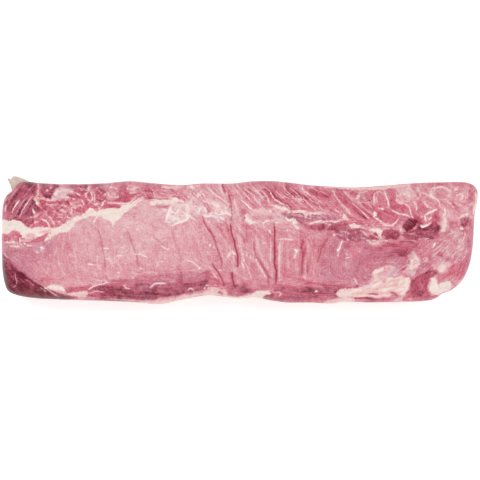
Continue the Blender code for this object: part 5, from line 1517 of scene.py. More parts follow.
def groove(points, width, px, py):
    """1 at the bottom of a groove and 0 beside it, fading out at its ends."""
    line, near = near_line(points, GROOVE_REACH * width, px, py)
    depth = np.zeros_like(px)
    far, _, along = line_distance(line, px[near], py[near])
    depth[near] = np.exp(-(far / width) ** 2) * fading_ends(along)
    return depth


def step_down(points, reach, px, py):
    """1 just past an edge, on its lower side, easing back to 0 away from it and at its ends."""
    line, near = near_line(points, reach, px, py)
    drop = np.zeros_like(px)
    far, side, along = line_distance(line, px[near], py[near])
    past = smoothstep(-STEP_SLOPE, STEP_SLOPE, far * side)
    drop[near] = fading_ends(along) * past * (1 - smoothstep(STEP_HOLD, 1, far / reach))
    return drop


def relief(px, py):
    """Height in metres that seams, bundles, creases and muscle edges add to the smooth top."""
    height = -SEAM_DEPTH * groove(SEAM, SEAM_WIDTH, px, py)
    for points in BUNDLE_GROOVES:
        height -= BUNDLE_DEPTH * groove(points, BUNDLE_WIDTH, px, py)
    for points, depth in CREASES:
        for width, share in CREASE_PROFILE:
            height -= depth * share * groove(points, width, px, py)
    for points, drop, reach in STEPS:
        height -= drop * step_down(points, reach, px, py)
    for (x, y), (half_x, half_y), rise in HOLLOWS:
        height += rise * np.exp(-((px - x) / half_x) ** 2 - ((py - y) / half_y) ** 2)
    return height


def swell(x, y):
    """Slow unevenness of the surface, in metres."""
    draw = np.random.default_rng(SWELL_SEED)
    height = np.zeros(np.shape(x))
    for wave, rise in SWELLS:
        for _ in range(SWELL_WAVES):
            turn, phase = draw.uniform(0, 2 * np.pi, 2)
            k = 2 * np.pi / (wave * draw.uniform(*SWELL_SPREAD))
            height += rise * np.cos(k * (x * np.cos(turn) + y * np.sin(turn)) + phase) / np.sqrt(SWELL_WAVES)
    return height


def crown(x, y):
    """Height of the smooth top away from the edges."""
    eye = np.exp(-((y - EYE_Y) / EYE_HALF_WIDTH) ** 2)
    ends = THIN_END_DROP * smoothstep(*THIN_END_SPAN, x) + THICK_END_DROP * smoothstep(*THICK_END_SPAN, -x)
    return (CHINE_TOP + (EYE_TOP - CHINE_TOP) * eye) * (1 - ends)


def edge_curve(share, roundness):
    """0 at the rim and 1 where the edge has turned over."""
    return (1 - (1 - np.clip(share, 0, 1)) ** roundness) ** (1 / roundness)


class Outline:
    """The loin's outline, and how far across it lies at any place."""

    def __init__(self):
        corners = to_metres(CHINE_EDGE + THIN_END + BELLY_EDGE + THICK_END)
        line = smooth_line(corners, OUTLINE_SPACING, closed=True)
        self.across = self.extremes(line[:, 0], line[:, 1])
        self.along = self.extremes(line[:, 1], line[:, 0])

    @staticmethod
    def extremes(coordinate, value):
        """The outline's least and greatest value at each step of the other coordinate."""
        at = np.linspace(coordinate.min() + TINY, coordinate.max() - TINY, OUTLINE_STEPS)
        start = coordinate[:-1]
        end = coordinate[1:]
        crossing = (start[None] <= at[:, None]) != (end[None] <= at[:, None])
        share = (at[:, None] - start) / np.where(end == start, 1, end - start)
        there = value[:-1] + share * (value[1:] - value[:-1])
        least = np.where(crossing, there, np.inf).min(axis=1)
        return at, least, np.where(crossing, there, -np.inf).max(axis=1)

    def belly(self, x):
        return np.interp(x, self.across[0], self.across[1])

    def chine(self, x):
        return np.interp(x, self.across[0], self.across[2])

    def thick(self, y):
        return np.interp(y, self.along[0], self.along[1])

    def thin(self, y):
        return np.interp(y, self.along[0], self.along[2])

    def inset(self, x, y):
        """How far inside the outline a place lies, and how much the nearest edge is an end, 0 to 1."""
        gaps = [self.chine(x) - y, y - self.belly(x), x - self.thick(y), self.thin(y) - x]
        weights = [1 / np.maximum(gap, LEAST_GAP) ** 2 for gap in gaps]
        total = sum(weights)
        return total ** -0.5, (weights[2] + weights[3]) / total


def spread(total, turn, rise):
    """Grid lines from one edge to the other, as shares, close together where the surface is steep."""
    inset = np.linspace(0, turn, EDGE_SAMPLES)
    climb = np.diff(rise * edge_curve(inset / turn, TOP_ROUNDNESS))
    cost = np.maximum(np.diff(inset) / PLAN_STEP, np.hypot(np.diff(inset), climb) / WALL_STEP)
    travel = np.concatenate([[0], np.cumsum(cost)])
    steps = int(round(travel[-1]))
    edge = np.interp(np.linspace(0, travel[-1], steps + 1), travel, inset)
    middle = np.linspace(turn, total - turn, int(round((total - 2 * turn) / PLAN_STEP)) + 1)
    return np.concatenate([edge[:-1], middle, (total - edge[:-1])[::-1]]) / total


def top_grid(outline):
    """Places of the top's grid points, columns by rows, filling the outline from side to side."""
    u = spread(LENGTH, END_TURN, EYE_TOP - WIDEST_LEVEL)[:, None]
    v = spread(GRID_WIDTH, SIDE_TURN, EYE_TOP - WIDEST_LEVEL)[None]
    x_of = {name: (column - PICTURE_CENTRE[0]) * PIXEL for name, column in CORNER_COLUMNS.items()}
    corner = {}
    for name, x in x_of.items():
        edge = outline.chine if "chine" in name else outline.belly
        corner[name] = np.array([x, edge(x)])

    def mix(first, second, share):
        return first + (second - first) * share

    belly_x = mix(x_of["thick_belly"], x_of["thin_belly"], u)
    chine_x = mix(x_of["thick_chine"], x_of["thin_chine"], u)
    thick_y = mix(corner["thick_belly"][1], corner["thick_chine"][1], v)
    thin_y = mix(corner["thin_belly"][1], corner["thin_chine"][1], v)
    sides = [(belly_x, outline.belly(belly_x), chine_x, outline.chine(chine_x)),
             (outline.thick(thick_y), thick_y, outline.thin(thin_y), thin_y)]
    grid = []
    for axis in (0, 1):
        across = mix(sides[0][axis], sides[0][2 + axis], v)
        along = mix(sides[1][axis], sides[1][2 + axis], u)
        straight = mix(mix(corner["thick_belly"][axis], corner["thin_belly"][axis], u),
                       mix(corner["thick_chine"][axis], corner["thin_chine"][axis], u), v)
        grid.append(across + along - straight)
    return grid


def smooth_top(outline, x, y):
    """The top without its relief: the level of its rim, its height, and how far its edge has turned over."""
    inset, endness = outline.inset(x, y)
    at_rim = np.zeros(x.shape, bool)
    at_rim[[0, -1], :] = True
    at_rim[:, [0, -1]] = True
    inset[at_rim] = 0
    edge = edge_curve(inset / (SIDE_TURN + (END_TURN - SIDE_TURN) * endness), TOP_ROUNDNESS)
    rim = WIDEST_LEVEL + RIM_SWELL * swell(x, y)
    return rim, rim + (crown(x, y) + swell(x, y) - rim) * edge, edge


def fine_relief(x, y, z):
    """Everything that stands on the smooth top or cuts into it, in metres."""
    px, py = to_pixels(x, y, z)
    lift = relief(px, py) + STREAK_RELIEF * sample_field(streak_field(*RELIEF_STREAKS), px, py)
    for wave, rise, seed in LUMPS:
        lift += rise * noise(x, y, z, wave, seed)
    return lift


def build_body():
    """The meat body's mesh, its points, and the place and level that each point is painted by."""
    outline = Outline()
    x, y = top_grid(outline)
    rim, smooth, edge = smooth_top(outline, x, y)
    lift = fine_relief(x.ravel(), y.ravel(), smooth.ravel()).reshape(x.shape)
    z = smooth + lift * smoothstep(0.0, RELIEF_FADE, edge)

    index = np.arange(x.size).reshape(x.shape)
    squares = np.stack([index[:-1, :-1], index[1:, :-1], index[1:, 1:], index[:-1, 1:]], -1)
    faces = squares.reshape(-1, 4).tolist()
    loop = np.concatenate([index[:-1, 0], index[-1, :-1], index[:0:-1, -1], index[0, :0:-1]])
    tips = np.stack([x.ravel()[loop], y.ravel()[loop]], 1)
    root_span = outline.across[0][0] + ROOT_INSET, outline.across[0][-1] - ROOT_INSET
    roots = np.stack([np.clip(tips[:, 0], *root_span), np.zeros(len(tips))], 1)
    out = (tips - roots) / np.linalg.norm(tips - roots, axis=1)[:, None]
    rim_level = rim.ravel()[loop]
    rings = []
    for drop in np.sin(np.linspace(0, np.pi / 2, UNDER_RINGS + 1))[1:]:
        spot = tips - out * UNDER_TURN * (1 - edge_curve(1 - drop, UNDER_ROUNDNESS))
        rings.append(np.column_stack([spot, rim_level * (1 - drop)]))
    middle = np.column_stack([np.linspace(*root_span, MIDDLE_COLUMNS), np.zeros((MIDDLE_COLUMNS, 2))])
    root_share = (roots[:, 0] - root_span[0]) / (root_span[1] - root_span[0])
    first_root = x.size + len(rings) * len(loop)
    root_of = first_root + np.rint(root_share * (MIDDLE_COLUMNS - 1)).astype(int)
    starts = [loop] + [x.size + k * len(loop) + np.arange(len(loop)) for k in range(len(rings))] + [root_of]
    for outer, inner in zip(starts[:-1], starts[1:]):
        for i in range(len(loop)):
            j = (i + 1) % len(loop)
            faces.append(tuple(dict.fromkeys((outer[i], inner[i], inner[j], outer[j]))))
    top = np.column_stack([x.ravel(), y.ravel()])
    points = np.vstack([np.column_stack([top, z.ravel()]), *rings, middle])

    base = np.vstack([top, np.tile(tips, (UNDER_RINGS, 1)), middle[:, :2]])
    level = np.concatenate([smooth.ravel(), points[x.size:, 2]])
    return new_mesh("loin_body", points, faces), points, base, level


def new_mesh(name, points, faces):
    mesh = bpy.data.meshes.new(name)
    mesh.from_pydata(points.tolist(), [], faces)
    mesh.validate()
    return mesh


def way_out(base):
    """The direction from the body's middle line straight out to each point, as seen from above."""
    ends = np.abs(base[:, 0]).max() - ROOT_INSET
    out = np.column_stack([base[:, 0] - np.clip(base[:, 0], -ends, ends), base[:, 1]])
    return out / np.maximum(np.linalg.norm(out, axis=1), TINY)[:, None]


def folded_places(base, level, way):
    """Where in the picture to paint each point from: down the walls it folds in, below 0, or runs on out."""
    spot = base + way * way_out(base) * np.maximum(WALL_LEVEL - level, 0)[:, None]
    px, py = to_pixels(spot[:, 0], spot[:, 1], level)
    down = 1 - smoothstep(*DRIFT_FADE, level)
    for wave, drift, seed in WALL_DRIFTS:
        px = px + drift * down * noise(base[:, 0], base[:, 1], level, wave, seed)
        py = py + drift * down * noise(base[:, 0], base[:, 1], level, wave, seed + 1)
    return px, py


def fade_on_walls(layers, base, level):
    """Down the walls the picture's fine detail goes, its tone gives way to the wall's own, and painted shade
    darkens them just below the rim.
    """
    on_top = smoothstep(*WALL_FADE, level)
    down = 1 - smoothstep(*DRIFT_FADE, level)
    along = WALL_STRETCH * base
    own = WALL_TONE
    for wave, rise, seed in WALL_CLOUDS:
        own = own + rise * noise(along[:, 0], along[:, 1], level, wave, seed)
    side = smoothstep(-WALL_SIDE_BLEND, WALL_SIDE_BLEND, base[:, 1])
    share = down * (WALL_SHARES["belly"] + (WALL_SHARES["chine"] - WALL_SHARES["belly"]) * side)
    tone, cool, fibre = layers["meat"]
    # Painted shade just below the rim.
    tone = tone + RIM_SHADE * (1 - on_top)
    layers["meat"] = (tone + share * (own - tone), cool * (1 - share), fibre * on_top)
    fat, pink, frost = layers["fat"]
    layers["fat"] = (fat - FAT_SHRINK * down, pink, frost * (1 - share))
    white, whiteness, flecks = layers["line"]
    drawn = noise(base[:, 0], base[:, 1], level, *WALL_THREAD_NOISE) + WALL_THREAD_BASE
    threads = WALL_THREADS * down * np.clip(drawn, 0, 1)
    lines_left = LINE_ON_WALL + (1 - LINE_ON_WALL) * on_top
    layers["line"] = (white, whiteness * lines_left, flecks * on_top + threads)
    layers["way"] = tuple(value * on_top for value in layers["way"])
    crease, depth, below = layers["crease"]
    layers["crease"] = (crease, depth * on_top, below)


@functools.cache
def fibre_direction():
    """The fibres' direction over the picture, as two components, blended between the named places."""
    gx, gy = np.meshgrid(FIELD_LOW[0] + FIELD_STEP * np.arange(FIELD_SHAPE[0]),
                         FIELD_LOW[1] + FIELD_STEP * np.arange(FIELD_SHAPE[1]), indexing="ij")
    total = np.zeros((*FIELD_SHAPE, 2))
    for (x, y), degrees in FIBRE_TURNS:
        weight = 1 / (((gx - x) / FIBRE_STRETCH) ** 2 + (gy - y) ** 2 + FIBRE_SOFTNESS) ** FIBRE_FALL
        double = math.radians(2 * degrees)
        total += weight[..., None] * (math.cos(double), math.sin(double))
    angle = np.arctan2(total[..., 1], total[..., 0]) / 2
    return np.cos(angle), np.sin(angle)


@functools.cache
def streak_field(blur, reach):
    """Streaks along the fibres, mean 0 and spread 1: random grains drawn out along their direction."""
    grains = np.random.default_rng(STREAK_SEED).normal(size=FIELD_SHAPE)
    for _ in range(blur):
        for axis in (0, 1):
            grains = (np.roll(grains, 1, axis) + 2 * grains + np.roll(grains, -1, axis)) / 4
    dx, dy = fibre_direction()
    total = np.zeros(FIELD_SHAPE)
    for way in (1, -1):
        gx, gy = np.meshgrid(*(np.arange(n, dtype=float) for n in FIELD_SHAPE), indexing="ij")
        for _ in range(2 * reach):
            i = np.clip(gx.astype(int), 0, FIELD_SHAPE[0] - 1)
            j = np.clip(gy.astype(int), 0, FIELD_SHAPE[1] - 1)
            total += grains[i, j]
            gx += way * dx[i, j]
            gy += way * dy[i, j]
    return (total - total.mean()) / total.std()


def sample_field(field, px, py):
    """A field's value at places in the picture."""
    fx = np.clip((px - FIELD_LOW[0]) / FIELD_STEP, 0, FIELD_SHAPE[0] - FIELD_MARGIN)
    fy = np.clip((py - FIELD_LOW[1]) / FIELD_STEP, 0, FIELD_SHAPE[1] - FIELD_MARGIN)
    i = fx.astype(int)
    j = fy.astype(int)
    tx = fx - i
    ty = fy - j
    return ((1 - tx) * (1 - ty) * field[i, j] + tx * (1 - ty) * field[i + 1, j]
            + (1 - tx) * ty * field[i, j + 1] + tx * ty * field[i + 1, j + 1])


def inside_distance(points, px, py, reach=FAR_OFF):
    """Pixels inside the edge of a smooth closed patch, below 0 outside it, cut off at the reach."""
    line, near = near_line(points, reach, px, py, closed=True)
    result = np.full(len(px), -reach)
    x = px[near]
    y = py[near]
    far, _, _ = line_distance(line, x, y)
    start = line[:-1]
    end = line[1:]
    crosses = (start[:, 1] <= y[:, None]) != (end[:, 1] <= y[:, None])
    drop = np.where(end[:, 1] == start[:, 1], 1, end[:, 1] - start[:, 1])
    meet = start[:, 0] + (y[:, None] - start[:, 1]) / drop * (end[:, 0] - start[:, 0])
    inside = (crosses & (meet > x[:, None])).sum(axis=1) % 2 == 1
    result[near] = np.clip(np.where(inside, far, -far), -reach, reach)
    return result


def stroke_distance(points, width, px, py):
    """Pixels inside the edge of a stroke that narrows to its ends, below 0 outside it."""
    line, near = near_line(points, FAR_OFF, px, py)
    result = np.full(len(px), -FAR_OFF)
    far, _, along = line_distance(line, px[near], py[near])
    narrowed = width * (1 - STROKE_TAPER * np.abs(2 * along - 1) ** TAPER_POWER)
    result[near] = np.maximum(narrowed - far, -FAR_OFF)
    return result


def cover(points, softness, px, py):
    """1 inside a closed patch and 0 outside it, with an edge that soft."""
    return smoothstep(-softness, softness, inside_distance(points, px, py, softness))


def stroke_cover(points, width, softness, px, py):
    """1 in a stroke and 0 beside it, with an edge that soft."""
    return smoothstep(-softness, softness, stroke_distance(points, width, px, py))


def strongest(patches, px, py):
    """The highest level of the patches that cover each place."""
    found = np.zeros(len(px))
    for level, softness, points in patches:
        found = np.maximum(found, level * cover(points, softness, px, py))
    return found


def warped(px, py):
    """The places shifted a little this way and that, which makes the edges of patches ragged."""
    x = px
    y = py
    for wave, amount, seed in WARP:
        x = x + amount * cloud(px, py, wave, seed, 2)
        y = y + amount * cloud(px, py, wave, seed + WARP_SEED_STEP, 2)
    return x, y


def tone_covers(shifted, half):
    """Each tone patch and then each tone stroke: its tone, its coolness, and how far it covers each place."""
    for tone, cool, softness, points in TONE_PATCHES:
        yield tone, cool, cover(points, softness, *shifted)
    for tone, cool, width, points in TONE_STROKES:
        softness = max(STROKE_SOFTEST, STROKE_SOFTNESS * width)
        yield tone, cool, stroke_cover(points, width, softness, *half)


def paint_tone(spot, shifted, half, streak, grain):
    """Tone and coolness of the meat, before lines and creases."""
    tone = np.full(len(grain), BASE_TONE)
    cool = np.full(len(grain), BASE_COOL)
    for level, blue, share in tone_covers(shifted, half):
        tone += (level - tone) * share
        cool += (blue - cool) * share
    for change, width, points in TONE_SHIFTS:
        tone += change * stroke_cover(points, width, SHIFT_SOFTNESS * width, *half)
    tone += streak * STREAK_TONE * grain
    mottle = sum(share * cloud(*spot, *setting) for share, setting in MOTTLE_CLOUDS)
    tone += MOTTLE_TONE * mottle * (MOTTLE_IN_PALE + tone)
    cool += COOL_DRIFT * cloud(*spot, *COOL_CLOUD)
    return tone, cool


def fat_shapes(shifted, half):
    """Each fat patch and then each fat stroke: how pink it is, and how far inside it each place lies."""
    for blush, points in FAT_PATCHES:
        yield blush, inside_distance(points, *shifted)
    for width, blush, points in FAT_STROKES:
        yield blush, stroke_distance(points, width, *half)


def paint_fat(shifted, half):
    """How far inside the fat each place lies, in pixels, and how pink the fat is."""
    fat = np.full(len(shifted[0]), -FAR_OFF)
    pink = np.full(len(shifted[0]), BASE_PINK)
    for blush, inside in fat_shapes(shifted, half):
        pink += (blush - pink) * smoothstep(*PINK_EDGE, inside)
        fat = np.maximum(fat, inside)
    for width, points in FAT_CUTS:
        fat = np.minimum(fat, -stroke_distance(points, width, *half))
    return fat, pink


def paint_lines(spot, half, flecks):
    """How far inside a white line each place lies, glints painted as white lines included, in pixels, how
    white it is, and the pale halo round it.
    """
    white = LENS_WIDTH * (sample_field(streak_field(*LENS_STREAKS), *spot) - LENS_LEVEL)
    whiteness = LENS_WHITE * flecks
    white[whiteness == 0] = -FAR_OFF
    halo = np.zeros(len(flecks))
    for strength, width, points in WHITE_LINES_AND_GLINTS:
        inside = stroke_distance(points, width, *half)
        whiteness = np.where(inside > np.maximum(white, -HALO_REACH), strength, whiteness)
        white = np.maximum(white, inside)
        halo = np.maximum(halo, strength * smoothstep(-HALO_REACH, HALO_CORE, inside))
    return white, whiteness, halo


def paint_creases(half):
    """Pixels to the nearest crease, how deep it is, 0 to 1, and how much painted shade darkens the meat round
    it.
    """
    crease = np.full(len(half[0]), FAR_OFF)
    depth = np.zeros(len(crease))
    crease_shade = np.zeros(len(crease))
    for points, metres in CREASES:
        line, near = near_line(points, 2 * CREASE_SHADE_REACH, *half)
        far, side, along = line_distance(line, half[0][near], half[1][near])
        strength = min(1.0, metres / FULL_CREASE) * fading_ends(along, CREASE_END_FADE)
        # Painted shade round each crease.
        crease_shade[near] += CREASE_SHADE * strength * np.exp(-(far / CREASE_SHADE_REACH) ** 2)
        strength = strength * (1 - smoothstep(*CREASE_REACH, far))
        better = strength > depth[near]
        crease[near] = np.where(better, far * side, crease[near])
        depth[near] = np.where(better, strength, depth[near])
    return crease, depth, crease_shade


def paint_meat(px, py, fat_px, fat_py):
    """What the material reads at each point, three values to a layer, by the picture places it lies at."""
    spot = (px, py)
    shifted = warped(px, py)
    half = ((px + shifted[0]) / 2, (py + shifted[1]) / 2)
    fat_shifted = (fat_px + shifted[0] - px, fat_py + shifted[1] - py)
    fat_half = (fat_px + half[0] - px, fat_py + half[1] - py)
    grain = sum(share * sample_field(streak_field(*setting), px, py) for share, setting in STREAK_MIX)
    streak = np.full(len(px), EYE_STREAK)
    for level, softness, points in STREAK_PATCHES:
        streak += (level - streak) * cover(points, softness, px, py)

    tone, cool = paint_tone(spot, shifted, half, streak, grain)
    fat, pink = paint_fat(fat_shifted, fat_half)
    flecks = strongest(FLECK_PATCHES, px, py) * (1 - smoothstep(*FLECK_TONES, tone))
    white, whiteness, halo = paint_lines(spot, half, flecks)
    frost = strongest(FROST_PATCHES, *shifted) * (FROST_BASE + FROST_DRIFT * cloud(px, py, *FROST_CLOUD))
    crease, depth, crease_shade = paint_creases(half)
    # Paler round white lines and painted glints; painted shade added round the creases.
    tone = tone * (1 - LINE_AND_GLINT_HALO * halo) + crease_shade
    dx, dy = fibre_direction()
    stripe = STRIPE_BASE + (1 - STRIPE_BASE) * streak
    level_way = stripe * sample_field(dx * dx - dy * dy, px, py)
    slanted_way = stripe * sample_field(2 * dx * dy, px, py)
    nothing = np.zeros(len(px))
    return {"meat": (tone, cool, grain * streak), "fat": (fat, pink, frost),
            "line": (white, whiteness, flecks), "crease": (crease, depth, nothing),
            "run": (px, py, nothing), "way": (level_way, slanted_way, nothing)}


def linear(colour):
    """A screen colour, 0 to 255, as the light that the surface returns."""
    light = [PAINT_LEVEL * (((c / 255 + 0.055) / 1.055) ** 2.4 - GLOSS_SHARE) for c in colour]
    return (*(max(value, DARKEST) for value in light), 1)


class Shader:
    """A material whose nodes are added one call at a time."""

    def __init__(self, name):
        self.material = bpy.data.materials.new(name)
        self.material.use_nodes = True
        self.tree = self.material.node_tree
        self.surface = self.tree.nodes["Principled BSDF"]
        self.place = self.add("ShaderNodeTexCoord").outputs["Object"]

    def add(self, kind, inputs=(), **settings):
        node = self.tree.nodes.new(kind)
        for name, value in settings.items():
            setattr(node, name, value)
        for key, value in dict(inputs).items():
            self.plug(node.inputs[key], value)
        return node

    def plug(self, socket, value):
        if isinstance(value, bpy.types.NodeSocket):
            self.tree.links.new(value, socket)
        else:
            socket.default_value = value

    def math(self, operation, first, second=0.0, clamp=False):
        node = self.add("ShaderNodeMath", {0: first, 1: second}, operation=operation, use_clamp=clamp)
        return node.outputs[0]

    def scaled(self, value, factor, base=0.0):
        return self.add("ShaderNodeMath", {0: value, 1: factor, 2: base}, operation="MULTIPLY_ADD").outputs[0]

    def total(self, value, *terms):
        """The value, and each term's value times its factor."""
        for term, factor in terms:
            value = self.scaled(term, factor, value)
        return value

    def attribute(self, name):
        values = self.add("ShaderNodeAttribute", attribute_name=name).outputs["Vector"]
        return self.add("ShaderNodeSeparateXYZ", {0: values}).outputs

    def noise(self, wave, detail, shift):
        """Noise round 0 with features about one wave wide, in metres."""
        spot = self.add("ShaderNodeVectorMath", {0: self.place, 1: (shift, shift, shift)}).outputs[0]
        texture = self.add("ShaderNodeTexNoise", {"Vector": spot, "Scale": 1 / wave, "Detail": detail})
        return self.math("SUBTRACT", texture.outputs["Fac"], 0.5)

    def stripes(self):
        """Fine stripes along the fibres: four sets, each counting more the closer it lies to their way."""
        spot = self.add("ShaderNodeAttribute", attribute_name="run").outputs["Vector"]
        level_way, slanted_way, _ = self.attribute("way")
        sets = [(0, level_way, 1), (90, level_way, -1), (45, slanted_way, 1), (135, slanted_way, -1)]
        stripes = 0.0
        for degrees, way, sign in sets:
            turn = {"Vector": spot, "Rotation": (0, 0, math.radians(degrees)), "Scale": (*STRIPE_SIZE, 1)}
            turned = self.add("ShaderNodeMapping", turn, vector_type="TEXTURE").outputs[0]
            look = {"Vector": turned, "Scale": 1.0, "Detail": STRIPE_DETAIL}
            waves = self.add("ShaderNodeTexNoise", look, noise_dimensions="2D").outputs["Fac"]
            share = self.math("MAXIMUM", self.scaled(way, sign), 0.0)
            stripes = self.total(stripes, (share, self.scaled(waves, 1.0, -0.5)))
        return stripes

    def smooth(self, value, low, high):
        inputs = {"Value": value, "From Min": low, "From Max": high}
        return self.add("ShaderNodeMapRange", inputs, interpolation_type="SMOOTHSTEP").outputs["Result"]

    def mix(self, share, first, second):
        node = self.add("ShaderNodeMix", data_type="RGBA", clamp_factor=True)
        self.plug(node.inputs["Factor"], share)
        self.plug(node.inputs[6], first)
        self.plug(node.inputs[7], second)
        return node.outputs[2]

    def ramp(self, value, stops):
        node = self.add("ShaderNodeValToRGB", {"Fac": value})
        elements = node.color_ramp.elements
        while len(elements) < len(stops):
            elements.new(0.5)
        for element, (at, colour) in zip(elements, stops):
            element.position = at
            element.color = linear(colour)
        return node.outputs["Color"]


def meat_material():
    """Raw meat with fat, film, white lines with painted glints, and dark creases with painted shade, from what
    is painted on the mesh's points.
    """
    shader = Shader("raw_pork")
    tone, cool, fibre = shader.attribute("meat")
    fat, pink, frost = shader.attribute("fat")
    white, whiteness, flecks = shader.attribute("line")
    crease, depth, below = shader.attribute("crease")
    mottle, grain, ragged, veins, gaps, cap_edge = (shader.noise(*setting) for setting in NOISES.values())

    threads = shader.smooth(shader.math("ABSOLUTE", veins), *THREAD_EDGE)
    threads = shader.math("MULTIPLY", threads, shader.smooth(gaps, *GAP_EDGE))
    blots = shader.scaled(shader.smooth(ragged, *BLOT_EDGE), BLOT_WHITE)
    threads = shader.math("MAXIMUM", threads, blots)
    white = shader.smooth(shader.scaled(ragged, LINE_RAGGED, white), *LINE_EDGE)
    white = shader.math("MULTIPLY", white, whiteness)
    threads = shader.math("MULTIPLY", threads, shader.scaled(flecks, FLECK_WHITE))
    white = shader.math("MAXIMUM", white, threads)
    tone = shader.total(tone, (mottle, MOTTLE_SHARE), (grain, GRAIN_TONE), (shader.stripes(), STRIPE_TONE))
    tone = shader.math("MULTIPLY", tone, shader.scaled(white, -LINE_PALES, 1.0))
    colour = shader.mix(cool, shader.ramp(tone, WARM_MEAT), shader.ramp(tone, COOL_MEAT))
    haze = shader.math("MULTIPLY", frost, shader.scaled(ragged, *HAZE), clamp=True)
    colour = shader.mix(haze, colour, linear(FILM))

    inside = shader.total(fat, (ragged, EDGE_RAGGED), (fibre, FIBRE_IN_FAT))
    cap = shader.smooth(shader.scaled(cap_edge, CAP_RAGGED, below), -CAP_SOFTNESS, CAP_SOFTNESS)
    fat_cover = shader.math("MAXIMUM", shader.smooth(inside, *FAT_EDGE), cap)
    above_cap = shader.scaled(cap, -1.0, 1.0)
    thin = shader.math("MULTIPLY", shader.smooth(inside, *THIN_FAT), above_cap, clamp=True)
    blush = shader.total(pink, (thin, THIN_BLUSH), (mottle, MOTTLE_BLUSH), (fibre, -FIBRE_BLUSH))
    colour = shader.mix(fat_cover, colour, shader.ramp(shader.scaled(blush, 0.5, 0.5), FAT))

    # The crease line: dark red, partly juice in the crease and partly painted shade.
    wavering = shader.math("ABSOLUTE", shader.scaled(grain, CREASE_RAGGED, crease))
    line = shader.math("MULTIPLY", shader.smooth(wavering, *CREASE_EDGE), depth)
    colour = shader.mix(line, colour, linear(CREASE_RED_AND_SHADE))
    # White lines, and glints painted in as white.
    colour = shader.mix(shader.math("POWER", white, LINE_POWER), colour, linear(WHITE_AND_GLINT))
    shader.plug(shader.surface.inputs["Base Color"], colour)

    rough = shader.total(MEAT_ROUGH, (mottle, MOTTLE_ROUGH), (fat_cover, FAT_ROUGH - MEAT_ROUGH))
    shader.plug(shader.surface.inputs["Roughness"], rough)
    for name, value in SURFACE.items():
        shader.surface.inputs[name].default_value = value
    bumps = (grain, GRAIN_BUMP), (ragged, RAGGED_BUMP), (fibre, FIBRE_BUMP), (line, -CREASE_BUMP)
    bump = {"Strength": BUMP_STRENGTH, "Distance": BUMP_HEIGHT, "Height": shader.total(0.0, *bumps)}
    shader.plug(shader.surface.inputs["Normal"], shader.add("ShaderNodeBump", bump).outputs["Normal"])
    return shader.material


def paint(mesh, layers):
    """Store the painted values on the mesh's points, three to a layer."""
    for name, values in layers.items():
        layer = mesh.attributes.new(name, "FLOAT_VECTOR", "POINT")
        layer.data.foreach_set("vector", np.column_stack(values).astype(np.float32).ravel())


def cap_depth(base, z):
    """Millimetres below the top edge of the fat cap, on the sides and the ends."""
    endness = np.clip(CAP_END_GAIN * way_out(base)[:, 0] ** 2 - CAP_END_FROM, 0, 1)
    edge = CAP_SIDE + (CAP_END - CAP_SIDE) * endness
    for wave, rise, seed in CAP_WAVES:
        edge = edge + rise * noise(base[:, 0], base[:, 1], 0 * z, wave, seed)
    return 1000 * (edge - z)


def build_flap():
    """The corner of the fat cap: its mesh, a thin sheet with a round edge, drooping a little."""
    outline = np.vstack([smooth_line(to_metres(FLAP_EDGE), FLAP_SPACING), to_metres(FLAP_ROOT)])[::-1]
    root = to_metres(FLAP_ROOT).mean(axis=0)
    reach = np.linalg.norm(outline - root, axis=1).max()
    around = len(outline)
    round_share = FLAP_EDGE_ROUND / reach
    turns = np.linspace(-np.pi / 2, np.pi / 2, 2 * FLAP_EDGE_RINGS + 1)
    face = [share * (1 - round_share) for share in np.linspace(FLAP_FIRST_RING, 1, FLAP_FACE_RINGS)[:-1]]
    rings = [(share, -1.0) for share in face]
    rings += [(1 - round_share * (1 - math.cos(turn)), math.sin(turn)) for turn in turns]
    rings += [(share, 1.0) for share in face[::-1]]
    points = []
    for share, side in rings:
        spots = root + (outline - root) * share
        droop = FLAP_DROOP * (np.linalg.norm(spots - root, axis=1) / reach) ** 2
        crumple = 1 + FLAP_CRUMPLE * noise(spots[:, 0], spots[:, 1], 0 * droop, *FLAP_CRUMPLE_NOISE)
        points.append(np.column_stack([spots, FLAP_LEVEL + FLAP_THICK / 2 * side * crumple - droop]))
    points += [(*root, FLAP_LEVEL - FLAP_THICK / 2), (*root, FLAP_LEVEL + FLAP_THICK / 2)]
    points = np.vstack(points)
    top = len(points) - 1
    last = (len(rings) - 1) * around
    faces = []
    for i in range(around):
        j = (i + 1) % around
        faces += [(top - 1, j, i), (top, last + i, last + j)]
        for k in range(0, last, around):
            faces.append((k + i, k + j, k + around + j, k + around + i))
    mesh = new_mesh("fat_flap", points, faces)
    zero = np.zeros(len(points))
    far = zero + FAR_OFF
    paint(mesh, {"meat": (zero, zero, zero), "fat": (far, zero + FLAP_BLUSH, zero),
                 "line": (-far, zero, zero), "crease": (far, zero, zero - FLAP_ABOVE_CAP),
                 "run": (*(points[:, :2].T / PIXEL), zero), "way": (zero, zero, zero)})
    return mesh


def place(name, mesh, material):
    """A visible piece of the loin."""
    piece = bpy.data.objects.new(name, mesh)
    bpy.context.scene.collection.objects.link(piece)
    mesh.shade_smooth()
    mesh.materials.append(material)
    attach(piece, "root")
    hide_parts("pork_loin")


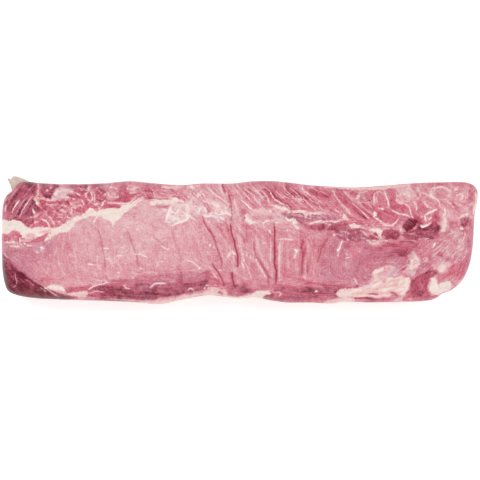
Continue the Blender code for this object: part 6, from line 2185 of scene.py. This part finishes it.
def floor_and_light():
    """A white floor, three soft lamps and a white sky."""
    half = FLOOR_HALF
    corners = np.array([(-half, -half, 0), (half, -half, 0), (half, half, 0), (-half, half, 0)])
    floor_mesh = new_mesh("floor", corners, [(0, 1, 2, 3)])
    floor = bpy.data.objects.new("floor", floor_mesh)
    floor.location.z = -FLOOR_DROP
    bpy.context.scene.collection.objects.link(floor)
    material = bpy.data.materials.new("white_paper")
    material.use_nodes = True
    for name, value in PAPER.items():
        material.node_tree.nodes["Principled BSDF"].inputs[name].default_value = value
    floor_mesh.materials.append(material)

    world = bpy.data.worlds.new("studio")
    bpy.context.scene.world = world
    world.use_nodes = True
    sky = world.node_tree.nodes["Background"]
    sky.inputs["Color"].default_value = (1, 1, 1, 1)
    sky.inputs["Strength"].default_value = SKY_LIGHT
    for name, spot, size, power in SOFTBOXES:
        lamp = bpy.data.lights.new(name, "AREA")
        lamp.size = size
        lamp.energy = power
        lamp_object = bpy.data.objects.new(name, lamp)
        lamp_object.location = spot
        direction = -lamp_object.location.normalized()
        lamp_object.rotation_euler = direction.to_track_quat("-Z", "Y").to_euler()
        bpy.context.scene.collection.objects.link(lamp_object)
    bpy.context.scene.view_settings.view_transform = "Standard"


def camera_above():
    """The camera that took the picture: straight above, with the picture's centre in its middle."""
    camera = bpy.data.cameras.new("camera")
    camera.sensor_width = SENSOR
    camera.lens = SENSOR * (CAMERA_HEIGHT - WIDEST_LEVEL) / (PICTURE_WIDTH * PIXEL)
    camera.clip_end = CAMERA_REACH
    camera_object = bpy.data.objects.new("camera", camera)
    middle = PICTURE_WIDTH / 2
    camera_object.location = (*to_metres((middle, middle)), CAMERA_HEIGHT)
    bpy.context.scene.collection.objects.link(camera_object)
    bpy.context.scene.camera = camera_object


def main():
    """Build and paint the loin's two pieces, and set the scene round them."""
    meat = meat_material()
    body, points, base, level = build_body()
    layers = paint_meat(*folded_places(base, level, PICTURE_FOLD), *folded_places(base, level, FAT_RUN))
    crease, depth, _ = layers["crease"]
    layers["crease"] = (crease, depth, cap_depth(base, points[:, 2]))
    fade_on_walls(layers, base, level)
    paint(body, layers)
    place("loin_body", body, meat)
    place("fat_flap", build_flap(), meat)
    floor_and_light()
    camera_above()


main()
